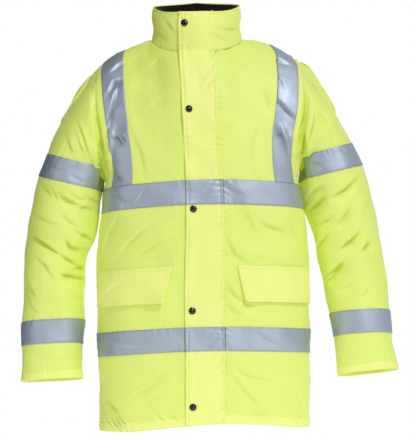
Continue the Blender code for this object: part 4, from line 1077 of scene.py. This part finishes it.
def back_turns(last):
    half = 180 - half_turns(0.0, last, BACK_CELL)
    return np.concatenate((half[::-1], -half[1:]))


def in_hem(rises, points):
    """1 where a panel is turned up double at the hem, else 0."""
    low = rises < HEM_RISE + HEM_BAND + 0.1
    return np.broadcast_to(low[:, None], points.shape[:2]).astype(float)


def make_panel(node, turns, cell, outside, yellow):
    """A front or the back; outside says which columns of cells end at the underarm row."""
    rises = body_rises(HEM_RISE, YOKE_RISE - HALF_GAP, cell)
    points, normals = body_cloth(*np.meshgrid(turns, rises))
    doubled = in_hem(rises, points)

    def cut(row, column):
        return rises[row] > -NEARLY and outside[column]

    cloth(f"{node}_cloth", points, normals, yellow, WALL, node, cut=cut, doubled=doubled)
    sew("panel_stitches", *body_cloth(turns, HEM_RISE + HEM_BAND))


def make_panels(yellow):
    turns = half_turns(CLOSURE_TRIM, 90 - SIDE_TRIM)
    for node, sign in (("front_right", -1), ("front_left", 1)):
        make_panel(node, turns * sign, CELL, turns > CORNER_TURN - NEARLY, yellow)
    turns = back_turns(90 - SIDE_TRIM)
    middle = (turns[:-1] % 360 + turns[1:] % 360) / 2
    make_panel("back", turns, BACK_CELL, np.abs(middle - 180) > CORNER_TURN, yellow)


def sleeve_rows(side):
    rings = np.arange(LAST_RING + 1.0)
    down = lengths_along(sleeve_form(0.0, rings, side))
    lines = [*down[list(SLEEVE_TAPE_EDGES)], down[-1] - CUFF_BAND]
    knots = between(0.0, down[-1], [down[-1] - 3.0, *(row for line in lines for row in near(line))])
    body = np.interp(spread(knots, knots), down, rings)
    head = np.concatenate(((0.0, 0.008, 0.02, 0.04, 0.065), np.linspace(0.09, 1, 41)[:-1]))
    return np.concatenate((head - 1, body))


def make_sleeves(yellow, silver):
    around = np.linspace(0, 360, 133)
    for side in ("right", "left"):
        rows = sleeve_rows(side)
        points, normals = sleeve_cloth(*np.meshgrid(around, rows), side)
        cuff = sleeve_ring(around, np.full(len(around), float(LAST_RING)), side)
        away = np.linalg.norm(points - cuff, axis=-1)
        doubled = (away < CUFF_BAND + 0.5).astype(float)
        node = f"sleeve_{side}"
        cloth(f"{node}_cloth", points, normals, yellow, WALL, node, closed=True, doubled=doubled)
        at = np.argmin(np.abs(away[:, 33] - CUFF_BAND))
        sew("panel_stitches", points[at], normals[at])
        for tape, first in SLEEVE_TAPES.items():
            inside = (rows > first - SAME_ROW) & (rows < first + 1 + SAME_ROW)
            strip(f"{tape}_{side}", points[inside], normals[inside], silver, closed=True)


# ---- collar and storm flap ----
FLEECE_SPAN = (0.14, 0.985)  # share of the collar's height that the fleece covers


def make_collar(yellow, fleece):
    half = np.linspace(COLLAR_TRIM, 180, 73)
    angles = np.concatenate((half, 360 - half[-2::-1]))  # from the closure round to it again
    stitches = COLLAR_HEIGHT - TOPSTITCH
    knots = sorted([0.0, 2.0, 5.0, 9.0, COLLAR_HEIGHT - 2.0, COLLAR_HEIGHT] + near(stitches))
    ups = spread(knots, knots) / COLLAR_HEIGHT
    points, normals = collar_cloth(*np.meshgrid(angles, ups))
    points[0, :, 2] += SEAM_GAP
    doubled = np.full(points.shape[:2], 0.5)
    cloth("collar_cloth", points, normals, yellow, COLLAR_WALL, "collar", doubled=doubled)
    at = np.argmin(np.abs(ups * COLLAR_HEIGHT - stitches))
    sew("panel_stitches", points[at], normals[at])
    inner = (ups > FLEECE_SPAN[0]) & (ups < FLEECE_SPAN[1])
    points, normals = points[inner], normals[inner]
    points = points - normals * (COLLAR_WALL + SEAM_GAP)
    cloth("collar_fleece", points, normals, fleece, LINING_WALL, "collar_lining")


def make_storm_flap(yellow, silver, enamel):
    free, sewn = round_body(-FLAP_TURN), round_body(FLAP_TURN)
    rows_of_stitches = (free + TOPSTITCH, sewn - TOPSTITCH)
    knots = [free, free + 1.5, sewn - 1.5, sewn]
    knots += [at for row in rows_of_stitches for at in near(row)]
    turns = turn_at(spread(sorted(knots), sorted(knots)))
    rises = body_rises(HEM_RISE, YOKE_RISE)
    rises = np.concatenate((rises, np.linspace(YOKE_RISE, FLAP_TOP, 26)[1:]))
    points, normals = flap_cloth(*np.meshgrid(turns, rises))
    doubled = np.ones(points.shape[:2])
    cloth("storm_flap_cloth", points, normals, yellow, FLAP_WALL, "storm_flap", doubled=doubled)
    for row in rows_of_stitches:
        at = np.argmin(np.abs(round_body(turns) - row))
        sew("panel_stitches", points[:, at], normals[:, at])
    for tape in ("low_tape", "chest_tape"):
        low, high = tape_edges(tape)
        inside = (rises > low - SAME_ROW) & (rises < high + SAME_ROW)
        strip(f"{tape}_flap", points[inside], normals[inside], silver)
    for name, height in SNAP_HEIGHTS.items():
        level = np.argmin(np.abs(points[:, 0, 2] - height))
        column = np.argmin(np.abs(points[level, :, 0] - points[level, 0, 0] - SNAP_FROM_EDGE))
        make_stud(name, points[level, column], normals[level, column], enamel)


STUD_PROFILE = (  # radius and height of each ring of a press stud, from its foot over the dome
    (6.6, 0), (7.5, 0.35), (7.6, 0.9), (7.3, 1.3), (6.8, 1.25), (6.3, 2.2), (5, 3.1), (3.4, 3.72),
    (1.6, 4.35), (0, 4.55),
)
STUD_STANDS_OFF = 0.3  # from the face of the cloth to its foot


def make_stud(node, place, normal, enamel):
    maker = bmesh.new()
    rings = [maker.verts.new((radius * MM, 0, height * MM)) for radius, height in STUD_PROFILE]
    edges = [maker.edges.new(pair) for pair in zip(rings, rings[1:])]
    turn = {"cent": (0, 0, 0), "axis": (0, 0, 1), "angle": 2 * np.pi, "steps": 40}
    bmesh.ops.spin(maker, geom=rings + edges, use_merge=True, **turn)
    bmesh.ops.remove_doubles(maker, verts=maker.verts, dist=SAME_POINT * MM)
    open_edge = [edge for edge in maker.edges if edge.is_boundary]
    bmesh.ops.holes_fill(maker, edges=open_edge, sides=0)
    bmesh.ops.recalc_face_normals(maker, faces=maker.faces)
    upright = Vector((0, 0, 1)).rotation_difference(Vector(normal)).to_matrix().to_4x4()
    on_flap = Matrix.Translation(Vector((place + normal * STUD_STANDS_OFF) * MM)) @ upright
    bmesh.ops.transform(maker, matrix=on_flap, verts=maker.verts)
    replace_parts(new_object(node.replace("snap", "stud"), maker, enamel), node)


# ---- reflective tape ----
TAPE_STITCH = 3.6  # from a long edge of the tape to its stitches


def strip(node, points, normals, silver, closed=False, along_rows=True):
    """A tape over a stretch of cloth, sewn down along both long edges."""
    outer = points + normals * (TAPE_LIFT + TAPE_WALL)
    axis = 0 if along_rows else 1
    across = lengths_along(outer, axis)
    from_edge = np.minimum(across, np.take(across, [-1], axis=axis) - across)
    cloth(f"{node}_strip", outer, normals, silver, TAPE_WALL, node, closed, from_edge=from_edge)
    scale = np.take(across, across.shape[1 - axis] // 2, axis=1 - axis)
    for edge in (TAPE_STITCH, scale[-1] - TAPE_STITCH):
        at = np.argmin(np.abs(scale - edge))
        sew("tape_stitches", np.take(outer, at, axis=axis), np.take(normals, at, axis=axis))


def make_body_tapes(silver):
    front = half_turns(FLAP_TURN + TAPE_TRIM, 90 - SIDE_TRIM)
    around = {"front_right": -front, "front_left": front, "back": back_turns(90 - SIDE_TRIM)}
    for tape in ("chest_tape", "low_tape"):
        rises = body_rises(*tape_edges(tape))
        for place, turns in around.items():
            strip(f"{tape}_{place}", *body_cloth(*np.meshgrid(turns, rises)), silver)


def make_braces(silver):
    inner, outer = BRACE_TURNS
    steps = np.array((2, 5)) / MM_PER_TURN["brace"]
    knots = [inner, *(inner + steps), *(outer - steps[::-1]), outer]
    turns = spread(knots, round_body(np.array(knots)))
    rises = body_rises(rise_of("chest_tape_top") + SEAM_GAP, YOKE_RISE)
    for sign, name in ((-1, "brace_right"), (1, "brace_left")):
        front = body_cloth(*np.meshgrid(turns * sign, rises))
        back = body_cloth(*np.meshgrid((180 - turns) * sign, rises[-2::-1]))
        points, normals = (np.concatenate(pair) for pair in zip(front, back))
        strip(name, points, normals, silver, along_rows=False)


# ---- pocket flaps ----
# How far the lower inner corner stands off and how far that reaches, right (-1) and left (1).
POCKET_CORNER_LIFT = {-1: (7.5, 26.0), 1: (4.0, 24.0)}
POCKET_DROP = 73.5  # from the sewn edge to the free one
POCKET_ENDS = (0.035, 0.965)  # where its ends are sewn, as a share of its length


def pocket_cloth(share_along, share_down, side):
    """A flap that hangs from its sewn top edge over the pocket, its lower inner corner loose."""
    (top, top_turn), (bottom, bottom_turn) = POCKET_FLAP["top"], POCKET_FLAP["bottom"]
    inner = top_turn + (bottom_turn - top_turn) * share_down
    turns = inner + (CORNER_TURN - inner) * share_along
    height = top + (bottom - top) * share_down
    rises = height - BODY_SECTIONS["waist"][5] - ARMPIT_Z
    points, normals = body_cloth(turns * side, rises, share=0.8)
    length = (round_body(CORNER_TURN) - round_body(top_turn)) * share_along
    drop = (top - bottom) * share_down
    stands_off, at_bottom = POCKET_STANDS_OFF
    lift = stands_off + (at_bottom - stands_off) * share_down + FLAP_WALL
    corner, reach = POCKET_CORNER_LIFT[side]
    away = np.hypot(length, (top - bottom) - drop)
    lift = lift + corner * np.exp(-((away / reach) ** 2))
    lift = lift + 1.1 * share_down**2 * (1 + uneven(length / 74, 0.5 + side))
    lift = lift - topstitched(drop, length, 1.2 + side)
    return points + normals * lift[..., None], normals


def make_pocket_flaps(yellow):
    high, low = TOPSTITCH / POCKET_DROP, 1 - TOPSTITCH / POCKET_DROP
    downs = [0.0, 1.5, POCKET_DROP, *near(TOPSTITCH)]
    downs += near(POCKET_DROP - TOPSTITCH, LINE_OFFSETS[1:4])
    downs = spread(sorted(downs), sorted(downs)) / POCKET_DROP
    alongs = np.linspace(0, 1, 52)
    for side, node in ((-1, "pocket_flap_right"), (1, "pocket_flap_left")):
        points, normals = pocket_cloth(*np.meshgrid(alongs, downs), side)
        doubled = np.ones(points.shape[:2])
        cloth(f"{node}_cloth", points, normals, yellow, FLAP_WALL, node, doubled=doubled)
        lines = [(np.linspace(0.02, 0.98, 60), high), (np.linspace(*POCKET_ENDS, 60), low)]
        lines += [(end, np.linspace(high, low, 20)) for end in POCKET_ENDS]
        for line in lines:
            sew("panel_stitches", *pocket_cloth(*arrays(*line), side))


# ---- materials ----

def linear(code):
    """The linear colour of an sRGB hex code."""
    values = [int(code[i : i + 2], 16) / 255 for i in (1, 3, 5)]
    return (*(v / 12.92 if v <= 0.04045 else ((v + 0.055) / 1.055) ** 2.4 for v in values), 1.0)


def add(tree, kind, inputs=None, out=0, **settings):
    """Adds a node with its settings and gives one of its outputs; each input takes a value or
    another node's output."""
    made = tree.nodes.new(kind)
    for name, value in settings.items():
        setattr(made, name, value)
    for name, value in (inputs or {}).items():
        if isinstance(value, bpy.types.NodeSocket):
            tree.links.new(value, made.inputs[name])
        else:
            made.inputs[name].default_value = value
    return made.outputs[out]


def new_material(name, **values):
    """A Principled material; values are its sockets, with _ for a space."""
    made = bpy.data.materials.new(name)
    made.use_nodes = True
    shader = made.node_tree.nodes["Principled BSDF"]
    for socket, value in values.items():
        shader.inputs[socket.replace("_", " ")].default_value = value
    return made, made.node_tree, shader


WAVES_PER_METRE = 830 / 6.2832 * 2  # coated oxford cloth, one thread to 1.2 mm


def coated_oxford():
    """Polyester oxford cloth, fluorescent yellow: its dye sends back more light than a paint would,
    and a painted glow lightens its shade evenly; its coating gives a soft wide sheen, and its weave
    breaks it up. Where it lies double, less light gets through and it looks paler and warmer, and
    the hollows of its folds have painted shade, a deeper green."""
    made, tree, shader = new_material(
        "coated_polyester_oxford",
        Roughness=0.6,
        Sheen_Weight=0.2,
        Sheen_Roughness=0.4,
        Specular_IOR_Level=1.0,
        # painted glow: an even light of its own that lightens the cloth's shade
        Emission_Color=linear("#CCDA00"),
        Emission_Strength=0.21,
    )
    uv = add(tree, "ShaderNodeUVMap", uv_map="cut")
    place = add(tree, "ShaderNodeTexCoord", out="Object")
    threads = {"Vector": uv, "Scale": WAVES_PER_METRE, "Distortion": 0.6, "Detail": 1.0}
    ways = [add(tree, "ShaderNodeTexWave", threads, "Fac", bands_direction=way) for way in "XY"]
    weave = add(tree, "ShaderNodeMath", dict(enumerate(ways)), operation="MAXIMUM")
    crumple = {"Vector": place, "Scale": 55.0, "Detail": 5.0}
    crumple = add(tree, "ShaderNodeTexNoise", crumple, "Fac")
    fine = {"Strength": 0.3, "Distance": 0.00014, "Height": weave}
    fine = add(tree, "ShaderNodeBump", fine)
    coarse = {"Strength": 0.5, "Distance": 0.003, "Height": crumple, "Normal": fine}
    tree.links.new(add(tree, "ShaderNodeBump", coarse), shader.inputs["Normal"])
    colour = linear("#D0DE74")
    # doubled is the cloth's own paler colour; the fold mark paints shade, a deeper green, in hollows
    for mark, code in (("doubled", "#DEE384"), ("painted_fold_shade", "#A6B81A")):
        share = add(tree, "ShaderNodeAttribute", out="Fac", attribute_name=mark)
        mix = {"Factor": share, 6: colour, 7: linear(code)}
        colour = add(tree, "ShaderNodeMix", mix, 2, data_type="RGBA")
    tree.links.new(colour, shader.inputs["Base Color"])
    return made


def reflective_film():
    """Glass-bead tape: grey and half metallic between its sewn edges, where the film is pressed and
    looks lavender, with dull streaks where it is crushed, and painted shade where it lies in a fold."""
    made, tree, shader = new_material("glass_bead_tape", Metallic=0.8, Roughness=0.56)
    place = add(tree, "ShaderNodeTexCoord", out="Object")
    beads = add(tree, "ShaderNodeTexVoronoi", {"Vector": place, "Scale": 900.0}, "Distance")
    cloud = add(tree, "ShaderNodeTexNoise", {"Vector": place, "Scale": 38.0, "Detail": 5.0}, "Fac")
    fine = {"Strength": 0.2, "Distance": 0.0001, "Height": beads}
    fine = add(tree, "ShaderNodeBump", fine)
    coarse = {"Strength": 0.5, "Distance": 0.003, "Height": cloud, "Normal": fine}
    tree.links.new(add(tree, "ShaderNodeBump", coarse), shader.inputs["Normal"])
    from_edge = add(tree, "ShaderNodeAttribute", out="Fac", attribute_name="from_edge")
    film = add(tree, "ShaderNodeMapRange", {"Value": from_edge, "From Min": 2.0, "From Max": 3.2})
    crushed = {"Vector": place, "Scale": 26.0, "Detail": 3.0, "Distortion": 1.5}
    crushed = add(tree, "ShaderNodeTexNoise", crushed, "Fac", noise_type="RIDGED_MULTIFRACTAL")
    crushed = {"Value": crushed, "From Min": 0.5, "From Max": 1.0, "To Max": 0.55}
    crushed = add(tree, "ShaderNodeMapRange", crushed)
    # painted shade where the tape lies in a fold, joined with the crushed streaks
    painted_fold_shade = add(tree, "ShaderNodeAttribute", out="Fac", attribute_name="painted_fold_shade")
    dull = add(tree, "ShaderNodeMath", {0: crushed, 1: painted_fold_shade}, operation="MAXIMUM")
    colour = linear("#ABADCB")
    for share, code in ((film, "#B4C0CE"), (dull, "#66707E")):
        mix = {"Factor": share, 6: colour, 7: linear(code)}
        colour = add(tree, "ShaderNodeMix", mix, 2, data_type="RGBA")
    tree.links.new(colour, shader.inputs["Base Color"])
    return made


def black_fleece():
    """Brushed polyester: no gloss, and a short nap that lightens it where it turns away."""
    looks = {"Roughness": 0.95, "Sheen_Weight": 0.25, "Specular_IOR_Level": 0.15}
    made, tree, shader = new_material("black_fleece", Base_Color=linear("#0B0B10"), **looks)
    place = add(tree, "ShaderNodeTexCoord", out="Object")
    nap = add(tree, "ShaderNodeTexNoise", {"Vector": place, "Scale": 700.0, "Detail": 2.0}, "Fac")
    bump = add(tree, "ShaderNodeBump", {"Strength": 0.6, "Distance": 0.0006, "Height": nap})
    tree.links.new(bump, shader.inputs["Normal"])
    return made


def black_enamel():
    """Stove enamel on brass: black with a clear, sharp highlight."""
    looks = {"Roughness": 0.1, "Specular_IOR_Level": 0.7}
    return new_material("black_enamel", Base_Color=linear("#020203"), **looks)[0]


def polyester_thread(name, code):
    """Twisted thread, a little lighter and glossier than the cloth it lies in."""
    return new_material(name, Base_Color=linear(code), Roughness=0.45, Sheen_Weight=0.2)[0]


# ---- studio ----
CAMERA_AWAY = 5250.0
CAMERA_ROLL = 1.19
MM_PER_PIXEL = 2.1443
PIXELS_WIDE = 416
AXIS_PIXEL = 200.74  # column of the frame in which the jacket's middle stands
AXIS_HEIGHT = -387.0
LIGHTS = {  # place, width across, watts
    "key": ((1000, -2600, 2200), 480, 53),
    "front": ((1500, -4300, 300), 600, 22),
    "fill": ((-2700, -2500, 300), 1400, 20),
    "back": ((500, 2900, -100), 1600, 26),
}
LIGHTS_AIM = (0, 0, -400)
FLOOR_Z = -1000.0
WHITE = (1.0, 1.0, 1.0, 1.0)


def make_camera():
    data = bpy.data.cameras.new("camera")
    data.sensor_width = 36.0
    data.sensor_fit = "HORIZONTAL"
    data.lens = data.sensor_width * CAMERA_AWAY / (MM_PER_PIXEL * PIXELS_WIDE)
    data.shift_x = (PIXELS_WIDE / 2 - AXIS_PIXEL) / PIXELS_WIDE
    data.clip_end = 60.0
    camera = placed("camera", data)
    camera.location = (0.0, -CAMERA_AWAY * MM, AXIS_HEIGHT * MM)
    camera.rotation_euler = (np.pi / 2, np.radians(CAMERA_ROLL), 0.0)
    bpy.context.scene.camera = camera


def make_world():
    """White round about; what lights the jacket is brighter on the wearer's left."""
    world = bpy.data.worlds.new("studio")
    bpy.context.scene.world = world
    world.use_nodes = True
    tree = world.node_tree
    way = add(tree, "ShaderNodeTexCoord", out="Generated")
    tilted = {0: way, 1: (1.0, 0.0, 0.5)}
    tilted = add(tree, "ShaderNodeVectorMath", tilted, "Value", operation="DOT_PRODUCT")
    lit = {"Value": tilted, "From Min": -0.4, "From Max": 0.6, "To Min": 0.05, "To Max": 0.52}
    lit = add(tree, "ShaderNodeMapRange", lit)
    seen = add(tree, "ShaderNodeLightPath", out="Is Camera Ray")
    strength = add(tree, "ShaderNodeMix", {0: seen, 2: lit, 3: 1.0}, data_type="FLOAT")
    background = tree.nodes["Background"]
    background.inputs["Color"].default_value = WHITE
    tree.links.new(strength, background.inputs["Strength"])


def make_light(name, place, size, watts):
    data = bpy.data.lights.new(name, "AREA")
    data.shape = "DISK"
    data.size = size * MM
    data.energy = watts
    light = placed(name, data)
    light.location = Vector(place) * MM
    way = (Vector(LIGHTS_AIM) - Vector(place)).normalized()
    light.rotation_euler = way.to_track_quat("-Z", "Y").to_euler()


def make_floor():
    """A pale sweep that glows a little, so that it has no edge against the white."""
    looks = {"Roughness": 0.9, "Emission_Color": WHITE, "Emission_Strength": 0.45}
    made, _, _ = new_material("white_sweep", Base_Color=(0.9, 0.9, 0.9, 1.0), **looks)
    maker = bmesh.new()
    down = Matrix.Translation((0, 0, FLOOR_Z * MM))
    bmesh.ops.create_circle(maker, cap_ends=True, segments=96, radius=1.45, matrix=down)
    mesh = bpy.data.meshes.new("floor")
    maker.to_mesh(mesh)
    maker.free()
    mesh.materials.append(made)
    placed("floor", mesh)


# ---- the jacket ----

def main():
    yellow, silver = coated_oxford(), reflective_film()
    fleece, enamel = black_fleece(), black_enamel()
    make_panels(yellow)
    make_sleeves(yellow, silver)
    make_collar(yellow, fleece)
    make_storm_flap(yellow, silver, enamel)
    make_body_tapes(silver)
    make_braces(silver)
    make_pocket_flaps(yellow)
    make_stitches("panel_stitches", polyester_thread("yellow_thread", "#DDEB5E"))
    make_stitches("tape_stitches", polyester_thread("grey_thread", "#A9A6C4"))
    make_floor()
    make_world()
    for name, (place, size, watts) in LIGHTS.items():
        make_light(name, place, size, watts)
    make_camera()
    bpy.context.scene.view_settings.view_transform = "Standard"


main()
